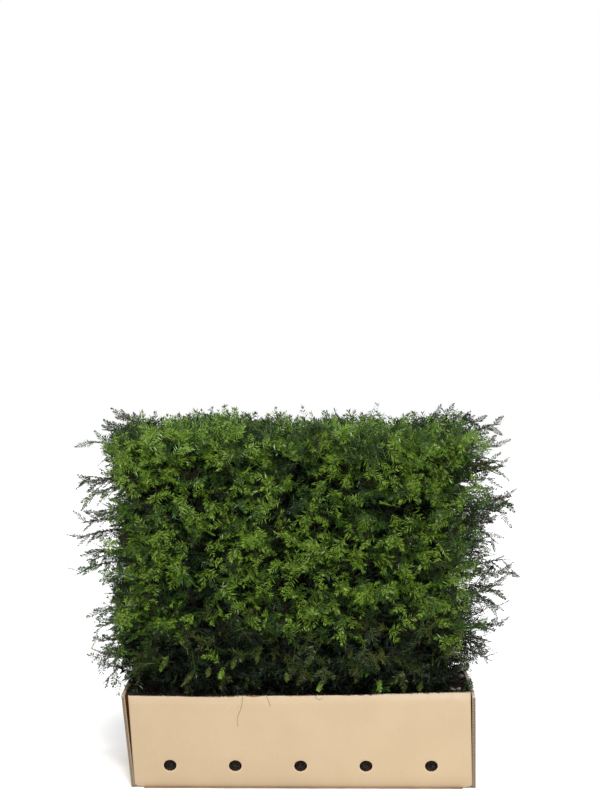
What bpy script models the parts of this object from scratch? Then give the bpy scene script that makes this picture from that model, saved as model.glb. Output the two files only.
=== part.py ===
"""A clipped yew hedge element, grown as one clump of four stems in a cardboard box.

Metres, +X to the right, -Y towards the front, +Z up from the ground, origin under the box's middle.
"""

import itertools
import math

import bmesh
import bpy
import numpy as np
from mathutils import Matrix, Vector
from mathutils.bvhtree import BVHTree

SEED = 31
GAP = 0.0003
TOUCHING = 0.001

# Cardboard tray: front, bottom and back are one folded sheet, wider at the top on its left
BOX_HEIGHT = 0.270
BOX_DEPTH = 0.360
TRAY_BOARD = 0.007
TRAY_LEFT_BOTTOM, TRAY_LEFT_TOP = -0.480, -0.498
TRAY_RIGHT_BOTTOM, TRAY_RIGHT_TOP = 0.4945, 0.4905
FOLD_RADIUS = 0.006
FOLD_STEPS = 3
HOLE_COUNT = 5
HOLE_PITCH = 0.1888
HOLE_HEIGHT = 0.065
HOLE_RADIUS_X, HOLE_RADIUS_Z = 0.018, 0.0162
HOLE_SIDES = 16

# End panels: separate sheets of thicker board, pressed outwards by the soil
END_BOARD = 0.009
END_LEFT_TOP = -0.5090
END_RIGHT_TOP = 0.4948
END_CORNER_RADIUS = 0.008

# Soil inside the box
SOIL_TOP = 0.252
SOIL_WAVE = 0.005
SOIL_WAVES_PER_METRE = (31.0, 47.0, 13.0)
SOIL_CELLS_X, SOIL_CELLS_Y = 14, 5
SOIL_LEVEL_RADIUS = 0.075

# Stems, all from the one root ball
STEM_X = (-0.375, -0.125, 0.125, 0.375)
STEM_TIP = 0.930
STEM_POINTS = 7
STEM_RADIUS_LOW, STEM_RADIUS_TIP = 0.0125, 0.0045
FLARE_RADIUS, FLARE_HEIGHT = 0.022, 0.030
STEM_SWAY_X, STEM_SWAY_Y = 0.014, 0.004
STEM_BENDS_X, STEM_BENDS_Y = 5.0, 6.0
STEM_LEAN = 0.020
STEM_SIDES = 8

# Clipped crown and how it is shared out among the masses
CROWN_LEFT, CROWN_RIGHT = -0.555, 0.568
CROWN_HALF_DEPTH = 0.205
CROWN_BOTTOM, CROWN_TOP = 0.350, 1.045
TIER_EDGES = (0.590, 0.820)
TIER_NAMES = ("low", "middle", "top")
COLUMN_NAMES = ("a", "b", "c", "d")
SPACE_MARGIN = 0.002
SPACE_STAGGER = 0.014

# Core of each mass, set in from the faces of the mass's space
CORE_INSET_SIDE = 0.058
CORE_INSET_ENDS = 0.060
CORE_INSET_TOP = 0.050
CORE_INSET_BELOW = 0.050
CORE_INSET_SHARED = 0.004
CORE_INSET_MIDDLE = 0.052
CORE_CHAMFER = 0.018
CORE_ROUGHNESS = 0.009

# Boughs and the stem that each mass grows from
BOUGH_RADIUS_BASE, BOUGH_RADIUS_TIP = 0.0060, 0.0042
BOUGH_SIDES = 4
BOUGH_DROP = 0.050
BOUGH_ROOT_SPREAD = 0.020
BOUGH_AIM_SPREAD = 0.050
BOUGH_ENTRY_DROP = 0.020
BOUGH_ENTRY_SHARE = 0.55
BOUGH_END_STRETCH = 0.010
BOUGH_START_SLOPE = 0.55
BOUGH_BEND = 0.40
BOUGH_TIP_BEFORE_CORE = 0.010
BOUGH_BELOW_STEM_TIP = 0.030
SEAT_TURNS, SEAT_RINGS, SEAT_HALVINGS, SEAT_LIMIT = 24, 4, 40, 0.050
MASS_STEM_LENGTH, MASS_STEM_RADIUS_END = 0.090, 0.0025
TWIG_RADIUS_BASE, TWIG_RADIUS_END = 0.0022, 0.0012
TWIG_SIDES = 3

SLIVER = 0.00003

# Sprays of needles: toothed blades, thickest along the middle, rooted in the core
SPRAY_PITCH_SIDE, SPRAY_PITCH_END = 0.080, 0.076
SPRAY_PITCH_TOP, SPRAY_PITCH_BELOW = 0.070, 0.105
SPRAY_EDGE = 0.012
SPRAY_JITTER, SPRAY_LEAN = 0.7, 0.9
SPRAY_TRIES = (1.0, 0.6, 0.3, 0.0)
SPRAY_FREE_FROM = 0.20
SPRAY_SAMPLES = 12
SPRAY_REACH_BACK = (0.095, 0.125)
SPRAY_ROOT_DEPTH = 0.024
SPRAY_ROLL = 1.2
SPRAY_UPRIGHT = 0.9
SPRAY_HALF_WIDTH = (0.029, 0.037)
SPRAY_THICKNESS = 0.0055
SPRAY_SIDE = ((0.40, 0.95), (0.55, 0.45), (0.76, 0.80))
SPRAY_MIDDLE = 0.55
LIMB_CLEARANCE = 0.0020

# Way that the sprays of each face point: rise, drop and outward share beside the face's own direction
SIDE_RISE = 1.05
END_RISE, END_OUTWARD = 0.30, -0.10
TOP_OUTWARD = 0.05
BELOW_DROP, BELOW_OUTWARD = 0.62, 0.75

# Reach of a spray's tip past the clipped face, by face
REACH_SIDE = (-0.006, 0.008)
REACH_TOP = (0.000, 0.045)
REACH_END = (0.000, 0.032)
REACH_BELOW = (0.000, 0.022)

# Long unclipped shoots at the two ends: height of the tip, its reach in X and its Y
LEFT_SHOOTS = (
    (1.052, -0.588, -0.060),
    (1.000, -0.628, 0.070),
    (0.872, -0.664, -0.080),
    (0.790, -0.640, 0.090),
    (0.560, -0.680, -0.070),
    (0.440, -0.640, 0.060),
)
RIGHT_SHOOTS = (
    (1.062, 0.604, 0.060),
    (0.960, 0.600, -0.080),
    (0.815, 0.628, 0.080),
    (0.730, 0.618, -0.070),
    (0.625, 0.644, 0.070),
    (0.470, 0.618, -0.060),
)
SHOOT_RADIUS_BASE, SHOOT_RADIUS_TIP = 0.0026, 0.0012
SHOOT_ROOT_INSIDE, SHOOT_ROOT_MARGIN = 0.050, 0.030
SHOOT_SLOPE = 0.32
SHOOT_DRAWN_IN = 0.90
SHOOT_TWIG_SHORT = 0.40
SHOOT_TOP_MARGIN = 0.015
SHOOT_SIDE_SPRAYS = (0.50, 0.72)
SHOOT_SPRAY_LENGTH, SHOOT_SPRAY_HALF_WIDTH = 0.065, 0.016
SHOOT_FORK = 0.75

KRAFT, END_KRAFT = (0.76, 0.60, 0.40), (0.70, 0.55, 0.37)
SOIL_BROWN, BARK_BROWN = (0.045, 0.032, 0.024), (0.20, 0.115, 0.075)
TIER_GREENS = ((0.060, 0.110, 0.025), (0.085, 0.170, 0.030), (0.110, 0.190, 0.060))


# Scene, materials and small mesh helpers


def clear_scene():
    for obj in list(bpy.data.objects):
        bpy.data.objects.remove(obj, do_unlink=True)


def material(name, colour, roughness):
    made = bpy.data.materials.new(name)
    made.use_nodes = True
    shader = made.node_tree.nodes["Principled BSDF"]
    shader.inputs["Base Color"].default_value = (*colour, 1.0)
    shader.inputs["Roughness"].default_value = roughness
    return made


def collection(name):
    made = bpy.data.collections.new(name)
    bpy.context.scene.collection.children.link(made)
    return made


def mesh_from(bm):
    mesh = bpy.data.meshes.new("mesh")
    bm.normal_update()
    bmesh.ops.recalc_face_normals(bm, faces=bm.faces)
    bm.to_mesh(mesh)
    bm.free()
    return mesh


def placed(name, mesh, group, surface=None):
    mesh.name = name
    obj = bpy.data.objects.new(name, mesh)
    group.objects.link(obj)
    if surface:
        mesh.materials.append(surface)
    return obj


def evaluated_mesh(obj):
    bpy.context.view_layer.update()
    graph = bpy.context.evaluated_depsgraph_get()
    return bpy.data.meshes.new_from_object(obj.evaluated_get(graph), depsgraph=graph)


def boolean(obj, operation, solver="EXACT", target=None, group=None):
    modifier = obj.modifiers.new(operation.lower(), "BOOLEAN")
    modifier.operation = operation
    modifier.solver = solver
    if group:
        modifier.operand_type = "COLLECTION"
        modifier.collection = group
    else:
        modifier.object = target
    return modifier


def cutter(name, mesh, group):
    obj = placed(name, mesh, group)
    obj.hide_render = True
    obj.display_type = "WIRE"
    return obj


def unit(vector):
    return vector / np.linalg.norm(vector)


def limb_mesh(points, radii, sides):
    """A tapering limb of 4, 6 or 8 sides on a line of points, its flat ends square to that line."""
    curve = bpy.data.curves.new("limb", "CURVE")
    curve.dimensions = "3D"
    curve.twist_mode = "MINIMUM"
    curve.bevel_depth = 1.0
    curve.bevel_resolution = (sides - 4) // 2
    curve.use_fill_caps = True
    spline = curve.splines.new("POLY")
    spline.points.add(len(points) - 1)
    for point, place, radius in zip(spline.points, points, radii):
        point.co = (*place, 1.0)
        point.radius = radius
    obj = bpy.data.objects.new("limb", curve)
    bpy.context.scene.collection.objects.link(obj)
    mesh = evaluated_mesh(obj)
    bpy.data.objects.remove(obj, do_unlink=True)
    bm = bmesh.new()
    bm.from_mesh(mesh)
    bmesh.ops.remove_doubles(bm, verts=bm.verts, dist=1e-6)
    bpy.data.meshes.remove(mesh)
    return mesh_from(bm)


def twig_mesh(start, end, radius_start, radius_end):
    """A straight three-sided twig."""
    start, end = Vector(start), Vector(end)
    along = end - start
    turn = along.to_track_quat("Z", "Y").to_matrix().to_4x4()
    bm = bmesh.new()
    bmesh.ops.create_cone(
        bm,
        cap_ends=True,
        segments=TWIG_SIDES,
        radius1=radius_start,
        radius2=radius_end,
        depth=along.length,
        matrix=Matrix.Translation((start + end) / 2) @ turn,
    )
    return mesh_from(bm)


# Cardboard box


def mix(bottom, top, z):
    return bottom + (top - bottom) * z / BOX_HEIGHT


def sloped_block(left, right, y_low, y_high, z_low, z_high):
    """A block whose left and right faces lean: left and right give x at the ground and at the rim."""
    bm = bmesh.new()
    bmesh.ops.create_cube(bm, size=1.0)
    for vert in bm.verts:
        z = z_low if vert.co.z < 0 else z_high
        x = mix(*left, z) if vert.co.x < 0 else mix(*right, z)
        vert.co = (x, y_low if vert.co.y < 0 else y_high, z)
    return bm


def rounded_edges(bm, chosen, radius):
    edges = [edge for edge in bm.edges if all(chosen(vert.co) for vert in edge.verts)]
    bmesh.ops.bevel(
        bm, geom=edges, offset=radius, segments=FOLD_STEPS, profile=0.5, affect="EDGES"
    )
    return bm


def build_tray(group, cutters, surface):
    half = BOX_DEPTH / 2
    left = (TRAY_LEFT_BOTTOM, TRAY_LEFT_TOP)
    right = (TRAY_RIGHT_BOTTOM, TRAY_RIGHT_TOP)
    bm = sloped_block(left, right, -half, half, 0, BOX_HEIGHT)
    bm = rounded_edges(bm, lambda co: co.z < TOUCHING and co.y < 0, FOLD_RADIUS)
    bm = rounded_edges(bm, lambda co: co.z < TOUCHING and co.y > half - TOUCHING, FOLD_RADIUS)
    tray = placed("tray", mesh_from(bm), group, surface)
    wide = (-BOX_DEPTH * 2, BOX_DEPTH * 2)
    inner = half - TRAY_BOARD
    block = sloped_block(
        (wide[0], wide[0]), (wide[1], wide[1]), -inner, inner, TRAY_BOARD, BOX_HEIGHT * 2
    )
    boolean(tray, "DIFFERENCE", target=cutter("tray_hollow", mesh_from(block), cutters))
    for index in range(HOLE_COUNT):
        bm = bmesh.new()
        bmesh.ops.create_cone(
            bm, cap_ends=True, segments=HOLE_SIDES, radius1=1, radius2=1, depth=1
        )
        bm.transform(Matrix.Rotation(math.pi / 2, 4, "X"))
        bm.transform(Matrix.Diagonal((HOLE_RADIUS_X, BOX_DEPTH * 2, HOLE_RADIUS_Z, 1)))
        x = (index - (HOLE_COUNT - 1) / 2) * HOLE_PITCH
        bm.transform(Matrix.Translation((x, 0, HOLE_HEIGHT)))
        hole = cutter(f"drain_hole_{index + 1}", mesh_from(bm), cutters)
        boolean(tray, "DIFFERENCE", target=hole)


def end_faces(side):
    """Inner and outer x of an end panel, each at the ground and at the rim."""
    if side < 0:
        inner = (TRAY_LEFT_BOTTOM - GAP, END_LEFT_TOP)
    else:
        inner = (TRAY_RIGHT_BOTTOM + GAP, END_RIGHT_TOP)
    return inner, tuple(x + side * END_BOARD for x in inner)


def build_end(side, group, surface):
    inner, outer = end_faces(side)
    left, right = (outer, inner) if side < 0 else (inner, outer)
    bm = sloped_block(left, right, -BOX_DEPTH / 2, BOX_DEPTH / 2, 0, BOX_HEIGHT)
    for y in (-BOX_DEPTH / 2, BOX_DEPTH / 2):
        bm = rounded_edges(
            bm,
            lambda co, y=y: co.z > BOX_HEIGHT - TOUCHING and abs(co.y - y) < TOUCHING,
            END_CORNER_RADIUS,
        )
    placed("end_left" if side < 0 else "end_right", mesh_from(bm), group, surface)


def soil_height(x, y, phases):
    """Gentle waves that die out round each stem's foot, so that it stands on level soil."""
    near = min(math.hypot(x - stem, y) for stem in STEM_X)
    fade = min(max(near - SOIL_LEVEL_RADIUS, 0.0) / SOIL_LEVEL_RADIUS, 1.0)
    first, second, third = SOIL_WAVES_PER_METRE
    wave = math.sin(first * x + phases[0]) + math.sin(second * y + third * x + phases[1])
    return SOIL_TOP + SOIL_WAVE * fade * wave / 2


def build_soil(group, surface):
    phases = np.random.default_rng(SEED).random(2) * 2 * math.pi
    half = BOX_DEPTH / 2 - TRAY_BOARD - GAP
    left, right = end_faces(-1)[0], end_faces(1)[0]
    floor = TRAY_BOARD + GAP
    bm = bmesh.new()
    bmesh.ops.create_grid(bm, x_segments=SOIL_CELLS_X, y_segments=SOIL_CELLS_Y, size=1)
    below = bmesh.ops.extrude_face_region(bm, geom=bm.faces[:])["geom"]
    low = {part for part in below if isinstance(part, bmesh.types.BMVert)}
    for vert in bm.verts:
        along, y = (vert.co.x + 1) / 2, vert.co.y * half
        x = left[1] + (right[1] - left[1]) * along
        z = floor if vert in low else soil_height(x, y, phases)
        low_x, high_x = mix(*left, z) + GAP, mix(*right, z) - GAP
        vert.co = (low_x + (high_x - low_x) * along, y, z)
    flat = [face for face in bm.faces if all(vert in low for vert in face.verts)]
    bmesh.ops.dissolve_faces(bm, faces=flat)
    bmesh.ops.triangulate(bm, faces=bm.faces)
    placed("soil", mesh_from(bm), group, surface)


# Stems


def stem_path(index):
    """Points and radii of one stem: a flat cut on the soil, a root flare, then a gently swaying taper."""
    rng = np.random.default_rng([SEED, 1, index])
    phase_x, phase_y = 2 * math.pi * rng.random(2)
    lean = STEM_LEAN * (rng.random() - 0.5)
    foot = SOIL_TOP + GAP
    points = [(STEM_X[index], 0.0, foot), (STEM_X[index], 0.0, foot + FLARE_HEIGHT)]
    radii = [FLARE_RADIUS, STEM_RADIUS_LOW]
    start = foot + FLARE_HEIGHT
    for step in range(1, STEM_POINTS):
        t = step / (STEM_POINTS - 1)
        x = STEM_SWAY_X * (math.sin(STEM_BENDS_X * t + phase_x) - math.sin(phase_x))
        y = STEM_SWAY_Y * (math.sin(STEM_BENDS_Y * t + phase_y) - math.sin(phase_y))
        points.append((STEM_X[index] + x + lean * t, y, start + (STEM_TIP - start) * t))
        radii.append(STEM_RADIUS_LOW + (STEM_RADIUS_TIP - STEM_RADIUS_LOW) * t)
    return np.array(points), np.array(radii)


def at_height(points, z):
    return np.array([np.interp(z, points[:, 2], points[:, k]) for k in range(3)])


# Spaces of the masses


def space_of(column, tier, side):
    """Low and high corner of a mass's own space, and the faces (axis, sign) where it meets the open air."""
    shift = SPACE_STAGGER * side
    middles = [(a + b) / 2 + shift for a, b in itertools.pairwise(STEM_X)]
    xs = (CROWN_LEFT, *middles, CROWN_RIGHT)
    rise = shift if column % 2 else -shift
    zs = (CROWN_BOTTOM, *(z + rise for z in TIER_EDGES), CROWN_TOP)
    low = [xs[column], 0.0 if side > 0 else -CROWN_HALF_DEPTH, zs[tier]]
    high = [xs[column + 1], CROWN_HALF_DEPTH if side > 0 else 0.0, zs[tier + 1]]
    faces = [(1, side)]
    if tier == len(TIER_NAMES) - 1:
        faces.append((2, 1))
    if tier == 0:
        faces.append((2, -1))
    if column == 0:
        faces.append((0, -1))
    if column == len(STEM_X) - 1:
        faces.append((0, 1))
    return np.array(low), np.array(high), faces


def inside_space(points, low, high, faces):
    """True if no point passes a face that the mass shares with a neighbour."""
    for axis in range(3):
        if (axis, -1) not in faces and points[:, axis].min() < low[axis] + SPACE_MARGIN:
            return False
        if (axis, 1) not in faces and points[:, axis].max() > high[axis] - SPACE_MARGIN:
            return False
    return True


def core_box(low, high, faces, side):
    """Low and high corner of a mass's core: its space set in on every face."""
    open_insets = (
        (CORE_INSET_ENDS, CORE_INSET_ENDS),
        (CORE_INSET_SIDE, CORE_INSET_SIDE),
        (CORE_INSET_BELOW, CORE_INSET_TOP),
    )
    inset = np.full((2, 3), CORE_INSET_SHARED)
    inset[0 if side > 0 else 1, 1] = CORE_INSET_MIDDLE
    for axis, sign in faces:
        end = 0 if sign < 0 else 1
        inset[end, axis] = open_insets[axis][end]
    return low + inset[0], high - inset[1]


def place_in_core(point, core_low, core_high):
    """The point itself if it lies well inside the core, or else the nearest place that does."""
    return np.clip(point, core_low + SPRAY_ROOT_DEPTH, core_high - SPRAY_ROOT_DEPTH)


def core_mesh(core_low, core_high, rng):
    """A chamfered block, a little uneven by the seeded rule."""
    bm = bmesh.new()
    bmesh.ops.create_cube(bm, size=1.0)
    for vert in bm.verts:
        vert.co = np.where(np.array(vert.co) < 0, core_low, core_high)
    bmesh.ops.bevel(bm, geom=bm.edges[:], offset=CORE_CHAMFER, segments=1, affect="EDGES")
    middle = Vector((core_low + core_high) / 2)
    for vert, share in zip(bm.verts, rng.random(len(bm.verts))):
        vert.co += (middle - vert.co).normalized() * share * CORE_ROUGHNESS
    return mesh_from(bm)


# Boughs


def clearance(points, tree):
    """Least signed distance from the points to a limb's surface: negative inside it."""
    found = []
    for point in points:
        near, normal, _, distance = tree.find_nearest(Vector(point))
        inside = (Vector(point) - near).dot(normal) < 0
        found.append(-distance if inside else distance)
    return min(found)


def end_points(centre, along, radius):
    """Points over a limb's flat end and a little way along its sides, close enough to seat it by."""
    across = along.orthogonal().normalized()
    angles = (2 * math.pi * k / SEAT_TURNS for k in range(SEAT_TURNS))
    turns = [Matrix.Rotation(angle, 3, along) @ across for angle in angles]
    steps = [radius * k / SEAT_RINGS for k in range(SEAT_RINGS + 1)]
    rings = [(out, 0.0) for out in steps] + [(radius, 2 * on) for on in steps[1:]]
    return [centre + turn * out + along * on for out, on in rings for turn in turns]


def seated(root, along, radius, tree):
    """The root moved out along its bough until the bough's end is the small gap clear of the stem."""
    near, far = 0.0, SEAT_LIMIT
    for _ in range(SEAT_HALVINGS):
        middle = (near + far) / 2
        end = end_points(Vector(root + along * middle), Vector(along), radius)
        if clearance(end, tree) < GAP:
            near = middle
        else:
            far = middle
    return root + along * far


def build_bough(name, stem_points, tree, core_low, core_high, side, rng, group, surface):
    """One bough from its stem to its mass: returns its tip, its last direction and its line."""
    draw = rng.random(2)
    middle = (core_low + core_high) / 2
    middle[0] += BOUGH_AIM_SPREAD * (draw[0] - 0.5)
    height = middle[2] - BOUGH_DROP - BOUGH_ROOT_SPREAD * draw[1]
    root = at_height(stem_points, min(height, STEM_TIP - BOUGH_BELOW_STEM_TIP))
    entry = middle.copy()
    entry[0] = root[0] + BOUGH_ENTRY_SHARE * (middle[0] - root[0])
    entry[1] = side * (CORE_INSET_MIDDLE - BOUGH_TIP_BEFORE_CORE)
    entry[2] -= BOUGH_ENTRY_DROP
    along = unit(middle - entry)
    before = entry - BOUGH_END_STRETCH * along
    out = unit((before - root) * np.array([1, 1, BOUGH_START_SLOPE]))
    start = seated(root, out, BOUGH_RADIUS_BASE, tree)
    bend = start + out * BOUGH_BEND * np.linalg.norm(before - start)
    points = np.array([start, bend, before, entry])
    radii = np.linspace(BOUGH_RADIUS_BASE, BOUGH_RADIUS_TIP, len(points))
    placed(name, limb_mesh(points, radii, BOUGH_SIDES), group, surface)
    return entry, along, (points, radii)


# Sprays


def spray_points(root, tip, across, half_width):
    """Outline of a toothed blade and its two ridge points."""
    run = tip - root
    right = [root + run * u + across * half_width * v for u, v in SPRAY_SIDE]
    left = [root + run * u - across * half_width * v for u, v in SPRAY_SIDE]
    ridge = root + run * SPRAY_MIDDLE
    lift = np.cross(unit(run), across) * SPRAY_THICKNESS / 2
    return np.array([root, *right, tip, *left[::-1]]), ridge + lift, ridge - lift


def spray_mesh(outline, upper, lower):
    """The blade: its toothed rim joined to a point above and a point below its middle."""
    bm = bmesh.new()
    rim = [bm.verts.new(point) for point in outline]
    for apex in (bm.verts.new(upper), bm.verts.new(lower)):
        for first, second in zip(rim, rim[1:] + rim[:1]):
            bm.faces.new((first, second, apex))
    return mesh_from(bm)


def distance_to_limb(points, limb):
    """Least distance from the points to a limb's surface, taking the limb as round."""
    line, radii = limb
    best = np.inf
    for a, b, ra, rb in zip(line[:-1], line[1:], radii[:-1], radii[1:]):
        along = b - a
        t = np.clip((points - a) @ along / (along @ along), 0, 1)
        away = np.linalg.norm(points - (a + t[:, None] * along), axis=1)
        best = min(best, (away - ra - t * (rb - ra)).min())
    return best


def free_part(root, end, across, half_width):
    """The part of a blade past its core, to test against the other blades of its mass."""
    rim, upper, lower = spray_points(
        root + SPRAY_FREE_FROM * (end - root), end, across, half_width
    )
    count = len(rim)
    faces = [(k, (k + 1) % count, apex) for apex in (count, count + 1) for k in range(count)]
    return BVHTree.FromPolygons([*map(Vector, rim), Vector(upper), Vector(lower)], faces)


def clear_of_limbs(outline, ridge, limbs):
    weights = np.linspace(0, 1, SPRAY_SAMPLES)[:, None, None]
    points = (outline * weights + ridge * (1 - weights)).reshape(-1, 3)
    return all(distance_to_limb(points, limb) > LIMB_CLEARANCE for limb in limbs)


def face_rule(axis, sign, side):
    """Which way the sprays of one face point, how far they pass it, and how far apart they are."""
    if axis == 1:
        return np.array([0, sign, SIDE_RISE]), REACH_SIDE, SPRAY_PITCH_SIDE
    if axis == 0:
        return np.array([sign, END_OUTWARD * side, END_RISE]), REACH_END, SPRAY_PITCH_END
    if sign > 0:
        return np.array([0, TOP_OUTWARD * side, 1]), REACH_TOP, SPRAY_PITCH_TOP
    return np.array([0, BELOW_OUTWARD * side, -BELOW_DROP]), REACH_BELOW, SPRAY_PITCH_BELOW


def spray_seats(low, high, faces, side, rng):
    """The seeded rule: a jittered grid of tips on each open face, with lean, roll and size for each."""
    for axis, sign in faces:
        others = [k for k in range(3) if k != axis]
        sizes = [high[k] - low[k] - 2 * SPRAY_EDGE for k in others]
        toward, reach, pitch = face_rule(axis, sign, side)
        counts = [max(1, round(size / pitch)) for size in sizes]
        for cell in itertools.product(*(range(count) for count in counts)):
            draw = rng.random(7)
            tip = np.zeros(3)
            tip[axis] = high[axis] if sign > 0 else low[axis]
            lean = np.zeros(3)
            for k, step, count, size, jitter, tilt in zip(
                others, cell, counts, sizes, draw[:2], draw[2:4]
            ):
                place = (step + 0.5 + SPRAY_JITTER * (jitter - 0.5)) / count
                tip[k] = low[k] + SPRAY_EDGE + place * size
                lean[k] = SPRAY_LEAN * (tilt - 0.5)
            yield tip, toward, lean, reach, draw[4:]


def between(limits, share):
    return limits[0] + (limits[1] - limits[0]) * share


def spray_frame(tip, toward, lean, reach, draw, spread, core):
    """Root, tip and half width of one spray, and the way across its blade."""
    way = unit(toward + spread * lean)
    end = tip + way * between(reach, draw[1])
    root = place_in_core(end - way * between(SPRAY_REACH_BACK, draw[2]), *core)
    along = unit(end - root)
    level = np.cross(along, [0, 0, 1.0])
    flat = level if abs(along[2]) < SPRAY_UPRIGHT else np.array([1.0, 0, 0])
    flat = unit(flat - along * (flat @ along))
    roll = (draw[0] - 0.5) * SPRAY_ROLL * spread
    across = flat * math.cos(roll) + np.cross(along, flat) * math.sin(roll)
    return root, end, across, between(SPRAY_HALF_WIDTH, draw[2])


def add_sprays(space, side, core, limbs, stem_end, rng, pieces):
    """Sprays on every open face, each on a twig from the mass's stem; one that does not fit is skipped."""
    low, high, faces = space
    taken = []
    for tip, toward, lean, reach, draw in spray_seats(low, high, faces, side, rng):
        for spread in SPRAY_TRIES:
            frame = spray_frame(tip, toward, lean, reach, draw, spread, core)
            outline, upper, lower = spray_points(*frame)
            if not inside_space(outline, low, high, faces):
                continue
            if not clear_of_limbs(outline, (upper + lower) / 2, limbs):
                continue
            blade = free_part(*frame)
            if any(blade.overlap(other) for other in taken):
                continue
            taken.append(blade)
            pieces.append(spray_mesh(outline, upper, lower))
            pieces.append(twig_mesh(stem_end, frame[0], TWIG_RADIUS_BASE, TWIG_RADIUS_END))
            break


def shoots_of(column):
    if column == 0:
        return LEFT_SHOOTS
    return RIGHT_SHOOTS if column == len(STEM_X) - 1 else ()


def shoot_root(tip, core_low, core_high):
    """Where a long shoot leaves the core: inside its end, lower than its tip by a fixed slope."""
    outward = np.sign(tip[0])
    x = (core_low if outward < 0 else core_high)[0] - outward * SHOOT_ROOT_INSIDE
    z = tip[2] - SHOOT_SLOPE * abs(tip[0] - x)
    z = np.clip(z, core_low[2] + SHOOT_ROOT_MARGIN, core_high[2] - SHOOT_ROOT_MARGIN)
    return np.array([x, tip[1] * SHOOT_DRAWN_IN, z])


def add_long_shoots(space, column, core, pieces):
    """Unclipped shoots at the two ends: a twig out of the core with side sprays and a tip spray."""
    low, high, faces = space
    reach_up = REACH_TOP[1] if (2, 1) in faces else -SHOOT_TOP_MARGIN
    for height, reach, y in shoots_of(column):
        if not (low[2] < height < high[2] + reach_up and low[1] < y < high[1]):
            continue
        tip = np.array([reach, y, height])
        root = shoot_root(tip, *core)
        along = unit(tip - root)
        flat = unit(np.cross(along, [0, 0, 1.0]))
        twig_end = tip - along * SHOOT_TWIG_SHORT * SHOOT_SPRAY_LENGTH
        pieces.append(twig_mesh(root, twig_end, SHOOT_RADIUS_BASE, SHOOT_RADIUS_TIP))
        start = tip - along * SHOOT_SPRAY_LENGTH
        pieces.append(spray_mesh(*spray_points(start, tip, flat, SHOOT_SPRAY_HALF_WIDTH)))
        for place, turn in zip(SHOOT_SIDE_SPRAYS, (1, -1)):
            aside = unit(along + turn * SHOOT_FORK * flat)
            across = unit(flat - turn * SHOOT_FORK * along)
            fork = root + (twig_end - root) * place
            end = fork + aside * SHOOT_SPRAY_LENGTH
            outline, upper, lower = spray_points(fork, end, across, SHOOT_SPRAY_HALF_WIDTH)
            if inside_space(outline, low, high, faces):
                pieces.append(spray_mesh(outline, upper, lower))


# Joining a mass


def largest_body(mesh):
    """The mesh without slivers, loose scraps and the skins of sealed hollows."""
    bm = bmesh.new()
    bm.from_mesh(mesh)
    bmesh.ops.dissolve_degenerate(bm, dist=SLIVER, edges=bm.edges[:])
    bmesh.ops.triangulate(bm, faces=bm.faces[:])
    left, bodies = dict.fromkeys(bm.faces), []
    while left:
        front, body = [left.popitem()[0]], []
        while front:
            face = front.pop()
            body.append(face)
            for other in (near for edge in face.edges for near in edge.link_faces):
                if other in left:
                    del left[other]
                    front.append(other)
        bodies.append(body)
    keep = set(max(bodies, key=len))
    loose = [face for face in bm.faces if face not in keep]
    bmesh.ops.delete(bm, geom=loose, context="FACES")
    bm.to_mesh(mesh)
    bm.free()
    return mesh


def join_mass(name, pieces, group, surface):
    """One Boolean union on a collection of the mass's pieces, applied, with the pieces then removed."""
    bpy.context.view_layer.update()
    parts = collection(name + "_parts")
    base = placed(name + "_base", pieces[0], parts)
    parts.objects.unlink(base)
    bpy.context.scene.collection.objects.link(base)
    for index, mesh in enumerate(pieces[1:]):
        placed(f"{name}_piece_{index}", mesh, parts)
    boolean(base, "UNION", solver="MANIFOLD", group=parts)
    joined = largest_body(evaluated_mesh(base))
    for obj in [base, *parts.objects]:
        bpy.data.objects.remove(obj, do_unlink=True)
    bpy.data.collections.remove(parts)
    joined.materials.clear()
    placed(name, joined, group, surface)


def build_mass(column, tier, side, stems, trees, group, surfaces):
    name = f"{COLUMN_NAMES[column]}_{TIER_NAMES[tier]}_{'front' if side < 0 else 'back'}"
    rng = np.random.default_rng([SEED, 2, column, tier, side + 1])
    low, high, faces = space = space_of(column, tier, side)
    core = core_box(low, high, faces, side)
    bough = build_bough(
        "bough_" + name, stems[column][0], trees[column], *core, side, rng, group, surfaces["bark"]
    )
    tip, along, line = bough
    stem_start = tip + along * GAP
    stem_end = stem_start + along * MASS_STEM_LENGTH
    pieces = [
        core_mesh(*core, rng),
        limb_mesh([stem_start, stem_end], [BOUGH_RADIUS_TIP, MASS_STEM_RADIUS_END], BOUGH_SIDES),
    ]
    add_sprays(space, side, core, [stems[column], line], stem_end, rng, pieces)
    add_long_shoots(space, column, core, pieces)
    join_mass("mass_" + name, pieces, group, surfaces["needles"][tier])


def main():
    clear_scene()
    group = collection("yew_hedge_in_box")
    cutters = collection("cutters")
    kraft = material("kraft_board", KRAFT, 0.8)
    end_kraft = material("kraft_end_board", END_KRAFT, 0.85)
    bark = material("yew_bark", BARK_BROWN, 0.9)
    needles = [
        material("yew_needles_" + name, colour, 0.6)
        for name, colour in zip(TIER_NAMES, TIER_GREENS)
    ]
    build_tray(group, cutters, kraft)
    for side in (-1, 1):
        build_end(side, group, end_kraft)
    build_soil(group, material("damp_soil", SOIL_BROWN, 0.95))
    stems = [stem_path(index) for index in range(len(STEM_X))]
    trees = []
    for name, (points, radii) in zip(COLUMN_NAMES, stems):
        stem = placed("stem_" + name, limb_mesh(points, radii, STEM_SIDES), group, bark)
        bm = bmesh.new()
        bm.from_mesh(stem.data)
        trees.append(BVHTree.FromBMesh(bm))
        bm.free()
    surfaces = {"bark": bark, "needles": needles}
    for column, tier, side in itertools.product(range(len(STEM_X)), range(3), (-1, 1)):
        build_mass(column, tier, side, stems, trees, group, surfaces)


main()
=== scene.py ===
"""Looks of a clipped yew hedge element standing in its cardboard box.

Metres, +X to the right, -Y towards the front, +Z up from the ground, origin under the box's middle.
"""

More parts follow.
